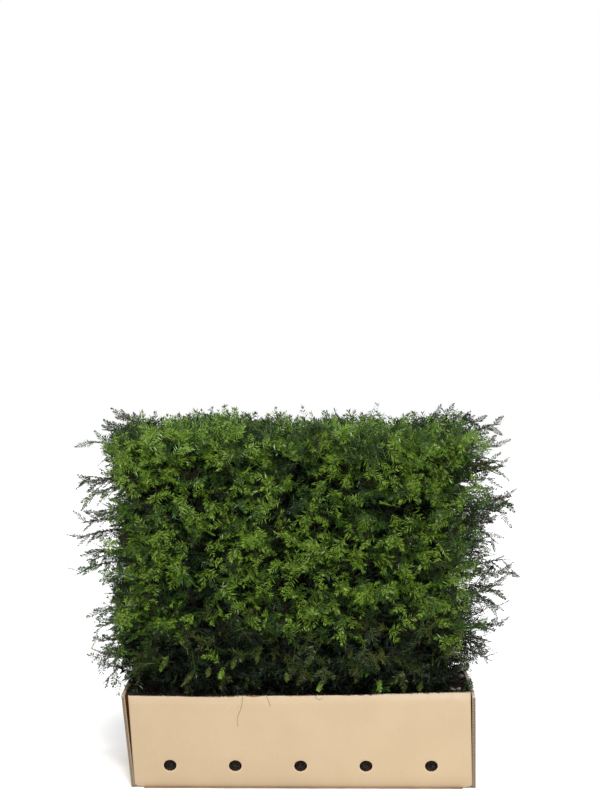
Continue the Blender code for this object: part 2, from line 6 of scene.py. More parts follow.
import itertools
import math

import bmesh
import bpy
import numpy as np
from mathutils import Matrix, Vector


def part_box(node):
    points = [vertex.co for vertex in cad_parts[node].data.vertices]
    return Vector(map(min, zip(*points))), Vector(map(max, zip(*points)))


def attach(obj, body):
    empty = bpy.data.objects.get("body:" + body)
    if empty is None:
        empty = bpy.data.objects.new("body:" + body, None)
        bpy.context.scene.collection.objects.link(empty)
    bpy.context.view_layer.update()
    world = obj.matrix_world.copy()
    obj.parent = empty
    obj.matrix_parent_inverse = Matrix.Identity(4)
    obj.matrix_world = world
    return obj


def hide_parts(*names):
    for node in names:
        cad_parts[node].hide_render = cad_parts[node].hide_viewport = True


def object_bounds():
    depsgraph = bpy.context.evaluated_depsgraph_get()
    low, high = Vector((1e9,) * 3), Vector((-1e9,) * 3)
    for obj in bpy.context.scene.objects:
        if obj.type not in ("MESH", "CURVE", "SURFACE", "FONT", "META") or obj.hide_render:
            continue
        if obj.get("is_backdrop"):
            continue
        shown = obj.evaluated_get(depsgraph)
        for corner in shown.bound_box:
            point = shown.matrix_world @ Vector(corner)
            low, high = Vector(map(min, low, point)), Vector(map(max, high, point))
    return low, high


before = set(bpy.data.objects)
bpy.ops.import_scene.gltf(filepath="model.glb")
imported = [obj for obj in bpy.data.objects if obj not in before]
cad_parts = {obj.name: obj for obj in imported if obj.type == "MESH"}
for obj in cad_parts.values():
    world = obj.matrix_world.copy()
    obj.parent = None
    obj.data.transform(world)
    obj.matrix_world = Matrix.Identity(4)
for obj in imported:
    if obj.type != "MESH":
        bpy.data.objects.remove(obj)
cad_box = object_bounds()

# Tray: one sheet of kraft corrugated board folded up into a front wall, a bottom and a back wall.
# Two paper liners hold a wavy paper core between them, and five drain holes are punched through
# each wall. Wet soil has pushed the walls out a little.

TRAY_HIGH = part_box("tray")[1]
WALL_Y, RIM_Z = TRAY_HIGH.y, TRAY_HIGH.z
FRONT, BACK = -1, 1
TRAY_BOARD, LINER = 0.007, 0.0006
EDGE_LEFT, EDGE_RIGHT = (-0.480, -0.498), (0.4960, 0.4895)
FOLD_RADIUS, FLAT_HALF_WIDTH = 0.006, 0.09
HOLE_COUNT, HOLE_PITCH, HOLE_HEIGHT = 5, 0.1888, 0.065
HOLE_RADIUS_X, HOLE_RADIUS_Z, HOLE_RAGGED = 0.0190, 0.0168, 0.010
HOLE_LIP, HOLE_CELL, HOLE_CELL_STEPS = (1.02, 1.34), 0.026, 8
HOLE_RINGS, HOLE_PRESSED, HOLE_PRESSED_TO = (0.0, 0.10, 0.28, 0.60, 1.0), 0.0012, 0.28
WALL_BULGE, BULGE_HALF_LENGTH, BACK_BULGE = 0.007, 0.52, 0.6
CORNER_LIFT, CORNER_LIFT_WIDTH, CORNER_LIFT_HEIGHT = 0.006, 0.020, 0.05
RIM_NICK = 0.0015
# Rise of the front wall's rim along x: it sags at the left and stands higher towards the right.
RIM_PLACES = (-0.490, -0.375, -0.288, -0.144, 0.000, 0.144, 0.288, 0.433, 0.490)
RIM_RISES = (-0.001, -0.002, -0.0045, -0.001, 0.0, 0.002, 0.006, 0.0105, 0.0115)
RIM_RISE_FROM = 0.15
CORE_WAVE, CORE_POINTS_PER_WAVE, CORE_INSET = 0.0085, 8, 0.002
KRAFT_PALE, KRAFT_DEEP = (0.486, 0.367, 0.236), (0.460, 0.346, 0.219)
CORE_BROWN, RIM_WORN = (0.300, 0.190, 0.105), (0.500, 0.405, 0.305)


def unit(vectors):
    """Each vector divided by its own length."""
    return vectors / np.linalg.norm(vectors, axis=-1, keepdims=True)


def grid_points(x, y, z):
    """The points of a grid, row by row, from x, y and z that are spread over its rows and columns."""
    return np.stack(np.broadcast_arrays(x, y, z), -1).reshape(-1, 3)


def grid_quads(rows, columns, closed=False):
    """Corner numbers of the quads between a grid's points; closed joins the last column to the first."""
    number = np.arange(rows * columns).reshape(rows, columns)
    if closed:
        number = np.concatenate([number, number[:, :1]], 1)
    corners = number[:-1, :-1], number[:-1, 1:], number[1:, 1:], number[1:, :-1]
    return np.stack(corners, -1).reshape(-1, 4)


def made_piece(name, points, faces, material, slot, nodes=(), smooth=True):
    """A mesh of points (n, 3) and faces (m, 3 or 4) as a piece that rides on the whole plant."""
    mesh = bpy.data.meshes.new(name)
    corners = faces.shape[1]
    mesh.vertices.add(len(points))
    mesh.vertices.foreach_set("co", np.asarray(points, np.float32).ravel())
    mesh.loops.add(faces.size)
    mesh.loops.foreach_set("vertex_index", np.asarray(faces, np.int32).ravel())
    mesh.polygons.add(len(faces))
    mesh.polygons.foreach_set("loop_start", np.arange(0, faces.size, corners, dtype=np.int32))
    mesh.polygons.foreach_set("use_smooth", np.full(len(faces), smooth))
    mesh.update(calc_edges=True)
    mesh.materials.append(material)
    piece = bpy.data.objects.new(name, mesh)
    bpy.context.scene.collection.objects.link(piece)
    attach(piece, "root")
    if nodes:
        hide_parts(*nodes)
    return piece


def joined(*shapes):
    """Points and faces of several shapes as one."""
    starts = np.cumsum([0, *(len(points) for points, _ in shapes)])
    points = np.concatenate([points for points, _ in shapes])
    return points, np.concatenate([faces + start for (_, faces), start in zip(shapes, starts)])


def seams_closed(piece, distance=0.00005):
    """Points that lie together are made one, and all faces are turned the same way."""
    mesh = bmesh.new()
    mesh.from_mesh(piece.data)
    bmesh.ops.remove_doubles(mesh, verts=mesh.verts, dist=distance)
    bmesh.ops.recalc_face_normals(mesh, faces=mesh.faces)
    mesh.to_mesh(piece.data)
    mesh.free()


def thickened(piece, thickness):
    """A sheet gets the thickness of its paper, half of it to each side."""
    modifier = piece.modifiers.new("paper", "SOLIDIFY")
    modifier.thickness = thickness
    modifier.offset = 0.0
    return piece


def value_noise(x, y, cell, seed):
    """Random heights from -1 to 1 at the corners of square cells, blended smoothly inside each cell."""
    lattice = np.random.default_rng(seed).uniform(-1, 1, (257, 257))
    u, v = x / cell + 1000.0, y / cell + 1000.0
    i, j = np.floor(u).astype(int), np.floor(v).astype(int)
    s, t = u - i, v - j
    s, t = s * s * (3 - 2 * s), t * t * (3 - 2 * t)
    i, j = i % 256, j % 256
    low = lattice[i, j] * (1 - s) + lattice[i + 1, j] * s
    high = lattice[i, j + 1] * (1 - s) + lattice[i + 1, j + 1] * s
    return low * (1 - t) + high * t


def edge_x(edge, z):
    """x of a leaning edge at a height: a straight line from its foot to its top at the rim."""
    return edge[0] + (edge[1] - edge[0]) * z / RIM_Z


def bulge(x, z, side):
    """How far the soil pushes a wall out: a cosine along it times a half sine up it, less at the back."""
    along = np.cos(np.clip(x / BULGE_HALF_LENGTH, -1, 1) * math.pi / 2) ** 0.6
    up = np.sin(math.pi * np.clip(z / RIM_Z, 0, 1) ** 0.7) ** 0.8
    return WALL_BULGE * along * up * np.where(side > 0, BACK_BULGE, 1.0)


def wall_lines():
    """The holes' middles, and the wall's grid lines: their fixed x, their share of the leaning side edge,
    which is negative at the left, and their height."""
    centres = (np.arange(HOLE_COUNT) - (HOLE_COUNT - 1) / 2) * HOLE_PITCH
    cell = np.linspace(-HOLE_CELL, HOLE_CELL, HOLE_CELL_STEPS + 1)
    columns = []
    for left, right in itertools.pairwise(centres):
        columns += [left + cell, np.linspace(left + HOLE_CELL, right - HOLE_CELL, 6)[1:-1]]
    fixed = np.concatenate([*columns, centres[-1] + cell])
    share = np.array([0.4, 0.75, 0.93, 1.0])
    x = np.concatenate([np.full(4, fixed[0]), fixed, np.full(4, fixed[-1])])
    drawn = np.concatenate([-share[::-1], np.zeros(len(fixed)), share])
    low, high = HOLE_HEIGHT - HOLE_CELL, HOLE_HEIGHT + HOLE_CELL
    z = np.concatenate([
        np.linspace(FOLD_RADIUS, low, 4)[:-1],
        np.linspace(low, high, HOLE_CELL_STEPS + 1),
        np.linspace(high, RIM_Z, 8)[1:],
    ])
    return centres, x, drawn, z


def leaned(x, drawn, z):
    """x of a grid line: its fixed place, drawn over to the wall's leaning side edge by its share."""
    edge = np.where(drawn < 0, edge_x(EDGE_LEFT, z), edge_x(EDGE_RIGHT, z))
    return x + (edge - x) * np.abs(drawn)


def holed_wall(side, inset, rng):
    """A wall's flat grid with its five cells cut out. Each cell is filled by rings, where ring t is the
    ragged oval times 1 - t plus the square cell times t, pressed in towards the oval."""
    centres, x, drawn, z = wall_lines()
    columns, rows = np.meshgrid(np.arange(len(x)), np.arange(len(z)))
    grid_z = z[rows]
    grid_z[-1] -= RIM_NICK * np.abs(rng.standard_normal(len(x)))
    grid_x = leaned(x[columns], drawn[columns], grid_z)
    quads = grid_quads(len(z), len(x))
    middle_x, middle_z = grid_x.ravel()[quads].mean(1), grid_z.ravel()[quads].mean(1)
    near = np.abs(middle_x[:, None] - centres).min(1) < HOLE_CELL
    quads = quads[~(near & (np.abs(middle_z - HOLE_HEIGHT) < HOLE_CELL))]
    shapes = [(grid_points(grid_x, 0.0, grid_z), quads)]
    steps = np.linspace(-1, 1, HOLE_CELL_STEPS + 1)[:-1]
    ones = np.ones(HOLE_CELL_STEPS)
    sides = (steps, -ones), (ones, steps), (-steps, ones), (-ones, -steps)
    square = np.concatenate([np.stack(pair, 1) for pair in sides]) * HOLE_CELL
    angle = np.arctan2(square[:, 1], square[:, 0])
    oval = np.stack([HOLE_RADIUS_X * np.cos(angle), HOLE_RADIUS_Z * np.sin(angle)], 1)
    ring = np.array(HOLE_RINGS)[:, None]
    pressed = HOLE_PRESSED * np.maximum(0.0, 1 - ring / HOLE_PRESSED_TO)
    for centre in centres:
        ragged = oval * (1 + HOLE_RAGGED * rng.standard_normal((len(oval), 1)))
        flat = ragged * (1 - ring[..., None]) + square * ring[..., None]
        points = grid_points(centre + flat[..., 0], pressed, HOLE_HEIGHT + flat[..., 1])
        shapes.append((points, grid_quads(len(ring), len(oval), closed=True)))
    points, faces = joined(*shapes)
    out = WALL_Y - inset + bulge(points[:, 0], points[:, 2], side)
    points[:, 1] = side * (out - points[:, 1])
    return points, faces


def folded_bottom(inset):
    """The bottom with its two folds: a quarter circle, a flat run and a quarter circle, carried along x.
    The walls' bulge at the folds fades out towards the flat run."""
    _, x, drawn, _ = wall_lines()
    radius = max(FOLD_RADIUS - inset, 0.0008)
    angle = np.linspace(0, math.pi / 2, 5)
    y = np.concatenate([WALL_Y - inset - radius + radius * np.cos(angle), [FLAT_HALF_WIDTH, 0.0]])
    z = np.concatenate([inset + radius - radius * np.sin(angle), [inset, inset]])
    z[0] = FOLD_RADIUS
    y, z = np.concatenate([-y, y[-2::-1]])[:, None], np.concatenate([z, z[-2::-1]])[:, None]
    grid_x = leaned(x, drawn, FOLD_RADIUS)
    fade = np.clip((np.abs(y) - FLAT_HALF_WIDTH) / (WALL_Y - FLAT_HALF_WIDTH - FOLD_RADIUS), 0, 1)
    grid_y = y + bulge(grid_x, FOLD_RADIUS, y) * np.sign(y) * fade
    return grid_points(grid_x, grid_y, z), grid_quads(len(z), len(x))


def corners_lifted(points):
    """The bottom corners of the sheet curl up over their last two centimetres, by the square of the share
    of that width, and fading out up the wall."""
    left, right = edge_x(EDGE_LEFT, points[:, 2]), edge_x(EDGE_RIGHT, points[:, 2])
    inside = np.minimum(points[:, 0] - left, right - points[:, 0])
    curl = np.clip(1 - inside / CORNER_LIFT_WIDTH, 0, 1) ** 2
    points[:, 2] += CORNER_LIFT * curl * np.clip(1 - points[:, 2] / CORNER_LIFT_HEIGHT, 0, 1)
    return points


def rim_risen(points):
    """The front wall's upper part is stretched up to its uneven rim: the rise at x times the square of
    the height's share above the middle."""
    share = np.clip((points[:, 2] - RIM_RISE_FROM) / (RIM_Z - RIM_RISE_FROM), 0, 1) ** 2
    points[:, 2] += np.interp(points[:, 0], RIM_PLACES, RIM_RISES) * share * (points[:, 1] < 0)
    return points


def shader_nodes(name, roughness, colour=(0.5, 0.5, 0.5), gloss=0.3):
    """A new material, its Principled shader, and a short way to add and link nodes to it."""
    made = bpy.data.materials.new(name)
    made.use_nodes = True
    tree = made.node_tree
    shader = tree.nodes["Principled BSDF"]
    shader.inputs["Base Color"].default_value = (*colour, 1.0)
    shader.inputs["Roughness"].default_value = roughness
    shader.inputs["Specular IOR Level"].default_value = gloss

    def add(kind, links=(), **values):
        """A node of a kind with its sockets linked; a value whose name starts with in_ is a socket's own."""
        node = tree.nodes.new(kind)
        for key, value in values.items():
            if key.startswith("in_"):
                node.inputs[key[3:].replace("_", " ")].default_value = value
            else:
                setattr(node, key, value)
        for socket, source in links:
            tree.links.new(source, node.inputs[socket])
        return node

    def link(source, socket):
        """A source goes into one of the shader's own sockets."""
        tree.links.new(source, shader.inputs[socket])

    return made, add, link


def ramp(add, source, stops):
    """A colour ramp over (place, colour) stops."""
    node = add("ShaderNodeValToRGB", [("Fac", source)])
    elements = node.color_ramp.elements
    while len(elements) < len(stops):
        elements.new(0.5)
    for element, (place, colour) in zip(elements, stops):
        element.position = place
        element.color = (*colour, 1.0)
    return node.outputs["Color"]


def noise(add, vector, scale, detail=3.0, rough=0.5):
    """Noise of a scale, which is one over its size in metres, with its octaves and their share."""
    node = add("ShaderNodeTexNoise", [("Vector", vector)], in_Scale=scale, in_Detail=detail)
    node.inputs["Roughness"].default_value = rough
    return node.outputs["Fac"]


def mixed(add, factor, first, second, blend="MIX"):
    """Two colours mixed by a factor, which is a number or a socket."""
    node = add("ShaderNodeMix", data_type="RGBA", blend_type=blend)
    sockets = node.inputs[0], node.inputs[6], node.inputs[7]
    for socket, value in zip(sockets, (factor, first, second)):
        if isinstance(value, bpy.types.NodeSocket):
            node.id_data.links.new(value, socket)
        elif isinstance(value, tuple):
            socket.default_value = (*value, 1.0)
        else:
            socket.default_value = value
    return node.outputs[2]


def stretched(add, coordinates, scale, turn=(0.0, 0.0, 0.0)):
    """Coordinates turned about the middle and scaled along each axis."""
    node = add("ShaderNodeMapping", [("Vector", coordinates)], in_Scale=scale, in_Rotation=turn)
    return node.outputs["Vector"]


def bumped(add, link, height, strength, distance):
    """The shader's normal takes a bump from a height."""
    node = add("ShaderNodeBump", [("Height", height)], in_Strength=strength, in_Distance=distance)
    link(node.outputs["Normal"], "Normal")


def worked_out(add, operation, *values, **settings):
    """One sum with numbers or sockets as its values."""
    node = add("ShaderNodeMath", operation=operation, **settings)
    for socket, value in zip(node.inputs, values):
        if isinstance(value, bpy.types.NodeSocket):
            node.id_data.links.new(value, socket)
        else:
            socket.default_value = value
    return node.outputs[0]


def fading(add, value, low, high, at_low, at_high):
    """A value that goes from one number to another while its source goes from low to high."""
    node = add("ShaderNodeMapRange", [("Value", value)], in_From_Min=low, in_From_Max=high)
    node.inputs["To Min"].default_value = at_low
    node.inputs["To Max"].default_value = at_high
    return node.outputs["Result"]


def near_hole(add, x, z):
    """1 at the lip of the nearest drain hole, fading to 0 with the square of the offset from its middle in
    hole radii, where x is first brought into the span of one hole pitch."""
    turns = worked_out(add, "FRACT", worked_out(add, "MULTIPLY_ADD", x, 1 / HOLE_PITCH, 100.5))
    pitch = HOLE_PITCH / HOLE_RADIUS_X
    aside = worked_out(add, "MULTIPLY_ADD", turns, pitch, -0.5 * pitch)
    above = worked_out(add, "MULTIPLY_ADD", z, 1 / HOLE_RADIUS_Z, -HOLE_HEIGHT / HOLE_RADIUS_Z)
    square = worked_out(add, "MULTIPLY_ADD", aside, aside, worked_out(add, "MULTIPLY", above, above))
    return fading(add, square, *HOLE_LIP, 1.0, 0.0)


def at_cut(add, y, width, most):
    """0 on an end panel, rising to a most over a narrow width at its cut front and back edges."""
    return fading(add, worked_out(add, "ABSOLUTE", y), WALL_Y - width, WALL_Y - 0.0004, 0.0, most)


def shade(colour, share):
    """A colour times a number, at most 1."""
    return tuple(min(1.0, share * part) for part in colour)


def kraft_paper(name, pale, deep, washboard=1.0, holes=False, cut=None, gloss=0.25):
    """Kraft liner: soft blotches, long paper fibres, dark flecks, hairline scuffs and a faint washboard.
    It is painted a little darker towards the left as shade, for light that falls from the right, and it
    is darker over its lowest four centimetres. The tray's is pale round its punched holes and worn along
    its rim, and an end panel's shows its raw edge where it was cut."""
    made, add, link = shader_nodes(name, 0.82, gloss=gloss)
    place = add("ShaderNodeTexCoord").outputs["Object"]
    x, y, z = add("ShaderNodeSeparateXYZ", [("Vector", place)]).outputs
    blotch = ramp(add, noise(add, place, 7.0, 4.0), ((0.36, deep), (0.62, pale)))
    fibres = noise(add, stretched(add, place, (60.0, 60.0, 900.0)), 1.0, 4.0)
    streak = ramp(add, fibres, ((0.35, shade(deep, 0.86)), (0.65, pale)))
    colour = mixed(add, 0.12, blotch, streak)
    fleck = ramp(add, noise(add, place, 420.0, 2.0), ((0.70, (0, 0, 0)), (0.77, (1, 1, 1))))
    colour = mixed(add, fleck, colour, shade(deep, 0.60))
    turned = stretched(add, place, (300.0, 300.0, 12.0), (0.0, 0.25, 0.0))
    scuff = ramp(add, noise(add, turned, 1.0, 1.0), ((0.750, (0, 0, 0)), (0.79, (0.35, 0.35, 0.35))))
    colour = mixed(add, scuff, colour, shade(pale, 1.2))
    # Painted shade: the paper is darker towards the left, as light falls from the right; it is also darker
    # at its foot.
    along, foot = fading(add, x, -0.50, 0.35, 0.935, 1.0), fading(add, z, 0.0, 0.040, 0.95, 1.0)
    colour = mixed(add, 1.0, colour, worked_out(add, "MULTIPLY", along, foot), "MULTIPLY")
    if holes:
        crushed = worked_out(add, "MULTIPLY", near_hole(add, x, z), 0.75)
        colour = mixed(add, crushed, colour, shade(pale, 1.35))
        rim = fading(add, z, RIM_Z - 0.014, RIM_Z + 0.001, 0.0, 0.95)
        patchy = fading(add, noise(add, place, 45.0, 3.0), 0.35, 0.60, 0.35, 1.0)
        colour = mixed(add, worked_out(add, "MULTIPLY", rim, patchy), colour, RIM_WORN)
    if cut:
        colour = mixed(add, at_cut(add, y, 0.0012, 0.9), colour, cut)
    link(colour, "Base Color")
    wave = add("ShaderNodeTexWave", [("Vector", place)], in_Scale=1 / CORE_WAVE / 3.18)
    wave.inputs["Distortion"].default_value = 0.4
    height = worked_out(add, "MULTIPLY_ADD", wave.outputs["Fac"], 0.35 * washboard, fibres)
    bumped(add, link, height, 0.25, 0.0006)
    return made


kraft = kraft_paper("kraft_liner", KRAFT_PALE, KRAFT_DEEP, holes=True)
tray_rng = np.random.default_rng(7)
for name, inset in (("tray_outer_liner", LINER / 2), ("tray_inner_liner", TRAY_BOARD - LINER / 2)):
    points, quads = joined(
        holed_wall(FRONT, inset, tray_rng), holed_wall(BACK, inset, tray_rng), folded_bottom(inset)
    )
    points = rim_risen(corners_lifted(points))
    liner = made_piece(name, points, quads, kraft, "kraft_board", ["tray"])
    seams_closed(liner)
    thickened(liner, LINER)

core_paper = kraft_paper("corrugated_core", CORE_BROWN, shade(CORE_BROWN, 0.7), 0.0)


def wall_core(side):
    """The wavy core of a wall above its holes: y is a sine of x, carried straight up the wall."""
    waves = (EDGE_RIGHT[1] - EDGE_LEFT[1] - 2 * CORE_INSET) / CORE_WAVE
    share = np.linspace(0, 1, int(waves) * CORE_POINTS_PER_WAVE)
    z = np.linspace(HOLE_HEIGHT + HOLE_CELL, RIM_Z - 0.0004, 7)[:, None]
    left, right = edge_x(EDGE_LEFT, z) + CORE_INSET, edge_x(EDGE_RIGHT, z) - CORE_INSET
    x = left + (right - left) * share
    swing = (TRAY_BOARD / 2 - 1.6 * LINER) * np.sin(2 * math.pi * x / CORE_WAVE)
    y = side * (WALL_Y - TRAY_BOARD / 2 + bulge(x, z, side) + swing)
    return grid_points(x, y, z), grid_quads(len(z), len(share))


waves, quads = joined(wall_core(FRONT), wall_core(BACK))
core = made_piece("tray_core", rim_risen(waves), quads, core_paper, "kraft_board", ["tray"])
thickened(core, 0.0004)


def punched_rims():
    """The crushed board inside each drain hole: a short tube from liner to liner, whose radius ripples by
    a sine of the turn, most halfway between the liners."""
    centres, turn = wall_lines()[0], np.linspace(0, 2 * math.pi, 49)[:-1]
    depth = np.array([0.0012, 0.0028, 0.0046, TRAY_BOARD - 0.0012])[:, None]
    shapes = []
    for centre, side in itertools.product(centres, (FRONT, BACK)):
        ripple = 1 + 0.05 * np.sin(13 * turn + centre * 40) * np.sin(math.pi * depth / TRAY_BOARD)
        x = centre + HOLE_RADIUS_X * 1.01 * np.cos(turn) * ripple
        z = HOLE_HEIGHT + HOLE_RADIUS_Z * 1.01 * np.sin(turn) * ripple
        y = side * (WALL_Y - depth + bulge(x, z, side))
        shapes.append((grid_points(x, y, z), grid_quads(len(depth), len(turn), closed=True)))
    return joined(*shapes)


thickened(made_piece("hole_rims", *punched_rims(), core_paper, "kraft_board", ["tray"]), 0.0005)

# Lower flaps: the bottom's own flaps lie under the fold and stick out a few millimetres in front and
# behind, with their brown cut edges uneven.

FLAP_FROM, FLAP_TO, FLAP_PROUD, FLAP_BOARD = -0.452, 0.468, 0.0095, 0.0024
FLAP_UNDER, FLAP_FOLD = 0.030, 0.004


def lower_flap(side):
    """A flat strip on the ground: y runs from under the box to an edge that value noise makes uneven."""
    x = np.linspace(FLAP_FROM, FLAP_TO, 120)
    ragged = 0.0014 * value_noise(x, 0 * x, 0.030, 11) + 0.0006 * value_noise(x, 0 * x, 0.008, 12)
    y = WALL_Y + np.stack([0 * x - FLAP_UNDER, 0 * x - FLAP_FOLD, FLAP_PROUD + ragged])
    return grid_points(x, side * y, 0.0015), grid_quads(3, len(x))


flaps = joined(lower_flap(FRONT), lower_flap(BACK))
thickened(made_piece("lower_flaps", *flaps, core_paper, "kraft_board", ["tray"]), FLAP_BOARD)

# End panels: separate sheets of thick double-wall board, three liners with a fine and a coarse wavy
# core between, their flutes running front to back, so that the waves show on the cut edges. The top
# corners are rounded, and the left panel leans outwards.

END_THICK, END_CORNER, END_BOW = 0.009, 0.008, 0.004
END_INNER = {"end_left": (-0.4803, -0.5090), "end_right": (0.4970, 0.4950)}
OUTWARD = {"end_left": -1, "end_right": 1}
END_CORES = ((0.0004, 0.0028), (0.0028, 0.0088))
END_WAVE, END_WAVE_STEPS, END_WAVE_SKEW, END_CORE_PAPER = 0.0079, 9, 0.70, 0.0014
END_PALE, END_DEEP = (0.500, 0.375, 0.240), (0.420, 0.305, 0.185)
FLUTE_CUT, FLUTE_PAINTED_SHADE = (0.400, 0.325, 0.245), (0.060, 0.044, 0.030)
LINER_CUT = (0.250, 0.165, 0.090)
TOP_EDGE_PALE, TOP_EDGE_DEEP = (0.480, 0.415, 0.335), (0.270, 0.225, 0.178)


def end_bow(y, z):
    """How far an end panel is bowed out: a cosine across it times a half sine up it."""
    return END_BOW * np.cos(y / WALL_Y * math.pi / 2) * np.sin(math.pi * z / RIM_Z)


def end_sheet(name, depth, z, columns=7):
    """A sheet of an end panel at a depth from its inner face: straight rows across y, which are shorter
    by a quarter circle at the top corners, leaned and bowed with the panel."""
    z = z[:, None]
    drop = np.clip(z - (RIM_Z - END_CORNER), 0, END_CORNER)
    y = (WALL_Y - END_CORNER + np.sqrt(END_CORNER**2 - drop**2)) * np.linspace(-1, 1, columns)
    x = edge_x(END_INNER[name], z) + OUTWARD[name] * (depth + end_bow(y, z))
    return grid_points(x, y, z), grid_quads(len(z), columns)


def end_rows():
    """Heights of an end sheet's rows, closer together round its top corners."""
    corner = RIM_Z - END_CORNER + END_CORNER * np.sin(np.linspace(0, math.pi / 2, 7))
    return np.concatenate([np.linspace(0.0003, RIM_Z - END_CORNER, 12)[:-1], corner])


def top_edge(name):
    """The crushed top edge: a strip along y as wide as the board, that follows the rounded corners and is
    rumpled by value noise."""
    y = np.linspace(-WALL_Y + 0.0004, WALL_Y - 0.0004, 150)
    over = np.clip(np.abs(y) - (WALL_Y - END_CORNER), 0, END_CORNER - 0.0004)
    height = RIM_Z - END_CORNER + np.sqrt(END_CORNER**2 - over**2)
    depth = np.array([0.0002, 0.0030, 0.0060, END_THICK - 0.0002])[:, None]
    rumple = 0.0007 * value_noise(y + depth, depth + 0 * y, 0.006, 13)
    x = END_INNER[name][1] + OUTWARD[name] * (depth + 0.0005 * value_noise(y, 0 * y, 0.012, 14))
    return grid_points(x, y, height + rumple + 0.0004), grid_quads(len(depth), len(y))


def cut_flutes(name):
    """Raw wavy paper, pale where it was cut across at the front and back edges and painted near black
    inside as the shade within its flutes, with grain in both."""
    made, add, link = shader_nodes(name, 0.85, gloss=0.2)
    place = add("ShaderNodeTexCoord").outputs["Object"]
    y = add("ShaderNodeSeparateXYZ", [("Vector", place)]).outputs["Y"]
    # Painted shade: away from the cut edges the flutes' paper is near black.
    paper = mixed(add, at_cut(add, y, 0.0016, 1.0), FLUTE_PAINTED_SHADE, FLUTE_CUT)
    grain = ramp(add, noise(add, place, 500.0, 3.0), ((0.35, (0.78, 0.76, 0.74)), (0.60, (1.0, 1.0, 1.0))))
    link(mixed(add, 1.0, paper, grain, "MULTIPLY"), "Base Color")
    return made


end_kraft = kraft_paper("end_liner", END_PALE, END_DEEP, 0.0, cut=LINER_CUT)
flute_paper = cut_flutes("end_flutes")
edge_paper = kraft_paper("crushed_edge", TOP_EDGE_PALE, TOP_EDGE_DEEP, 0.0)
for name in END_INNER:
    depths = (0.0003, END_CORES[0][1], END_THICK - 0.0003)
    liners = joined(*(end_sheet(name, depth, end_rows()) for depth in depths))
    thickened(made_piece(name + "_liners", *liners, end_kraft, "end_board", [name]), LINER)
    cores = []
    for low, high in END_CORES:
        z = np.arange(0.001, RIM_Z - 0.0006, END_WAVE / END_WAVE_STEPS)
        turn = z / END_WAVE % 1
        climb = np.where(turn < END_WAVE_SKEW, turn / END_WAVE_SKEW, (1 - turn) / (1 - END_WAVE_SKEW))
        wave = low + LINER + (high - low - 2 * LINER) * climb
        cores.append(end_sheet(name, wave[:, None], z, 3))
    waves = made_piece(name + "_cores", *joined(*cores), flute_paper, "end_board", [name])
    thickened(waves, END_CORE_PAPER)
    edge = made_piece(name + "_top_edge", *top_edge(name), edge_paper, "end_board", [name])
    thickened(edge, 0.0007)

# Corner flaps: at each corner the tray's wall is carried on behind the open slot, round a soft bend
# and in along the end panel, where it is tucked between panel and soil. Their kraft is painted a dark
# orange-brown as the shade inside the narrow slot.

FLAP_ON_WALL, FLAP_ON_END, FLAP_BEND, FLAP_PAPER, FLAP_GAP = 0.024, 0.070, 0.004, 0.0010, 0.0009
# Painted shade: the flaps' kraft is a near-black orange-brown.
FLAP_SHADE_PALE, FLAP_SHADE_DEEP = (0.060, 0.021, 0.002), (0.042, 0.014, 0.001)


def corner_flap(name, edge, side):
    """A flap's sheet at every height: straight along the wall, a quarter circle, straight along the end,
    as distances toward the end and inward from the wall."""
    outward = OUTWARD[name]
    z = np.linspace(0.004, RIM_Z - 0.003, 10)[:, None]
    end_x = edge_x(END_INNER[name], z) - outward * FLAP_GAP
    run = outward * (end_x - edge_x(edge, z)) + FLAP_ON_WALL
    turn = np.linspace(0, math.pi / 2, 6)[1:-1]
    wall = -FLAP_BEND - (run - FLAP_BEND) * np.array([1.0, 0.5, 0.0])
    bend = np.broadcast_to(-FLAP_BEND + FLAP_BEND * np.sin(turn), (len(z), len(turn)))
    toward = np.concatenate([wall, bend, np.zeros((len(z), 4))], 1)
    along_end = FLAP_BEND + np.linspace(0, FLAP_ON_END, 4)
    inward = np.concatenate([np.zeros(3), FLAP_BEND - FLAP_BEND * np.cos(turn), along_end])
    x = end_x + outward * toward
    y = WALL_Y - TRAY_BOARD - FLAP_GAP + bulge(x, z, side) - inward
    return grid_points(x + outward * end_bow(y, z), side * y, z), grid_quads(*x.shape)


tucked = joined(*(
    corner_flap(name, edge, side)
    for name, edge in zip(END_INNER, (EDGE_LEFT, EDGE_RIGHT)) for side in (FRONT, BACK)
))
raw_paper = kraft_paper("raw_paper", FLAP_SHADE_PALE, FLAP_SHADE_DEEP, 0.0, gloss=0.05)
thickened(made_piece("corner_flaps", *tucked, raw_paper, "kraft_board", ["tray"]), FLAP_PAPER)

# Soil: dark potting soil with bark crumbs, filled to just under the rim and pressed against the
# board, where it shows through the drain holes.

SOIL_LEVEL, SOIL_FOOT = 0.250, TRAY_BOARD + 0.001
SOIL_LENGTH, SOIL_HALF_Y, SOIL_GAP = 0.99, WALL_Y - TRAY_BOARD - 0.0006, 0.001
SOIL_STEP = 0.0052
# At the left and right end: how high the soil is heaped, the x where the heap starts, and its run.
SOIL_HEAPS = ((0.014, -0.425, -0.07), (0.007, 0.435, 0.05))
SOIL_BLACK, SOIL_BROWN, SOIL_GREY = (0.010, 0.008, 0.008), (0.032, 0.024, 0.019), (0.095, 0.082, 0.072)


def soil_across(share, z):
    """x at a share of the way from the soil's left side to its right, both just inside the end panels."""
    left, right = (edge_x(END_INNER[name], z) - SOIL_GAP * OUTWARD[name] for name in END_INNER)
    return left + (right - left) * share


def soil_height(x, y):
    """Height of the soil's top: its level, heaped up at both ends, and three sizes of value noise."""
    lumps = 0.0045 * value_noise(x, y, 0.055, 1) + 0.0035 * value_noise(x, y, 0.017, 2)
    heap = sum(rise * np.clip((x - begin) / run, 0, 1) for rise, begin, run in SOIL_HEAPS)
    return SOIL_LEVEL + heap + lumps + 0.0022 * value_noise(x, y, 0.0071, 3)


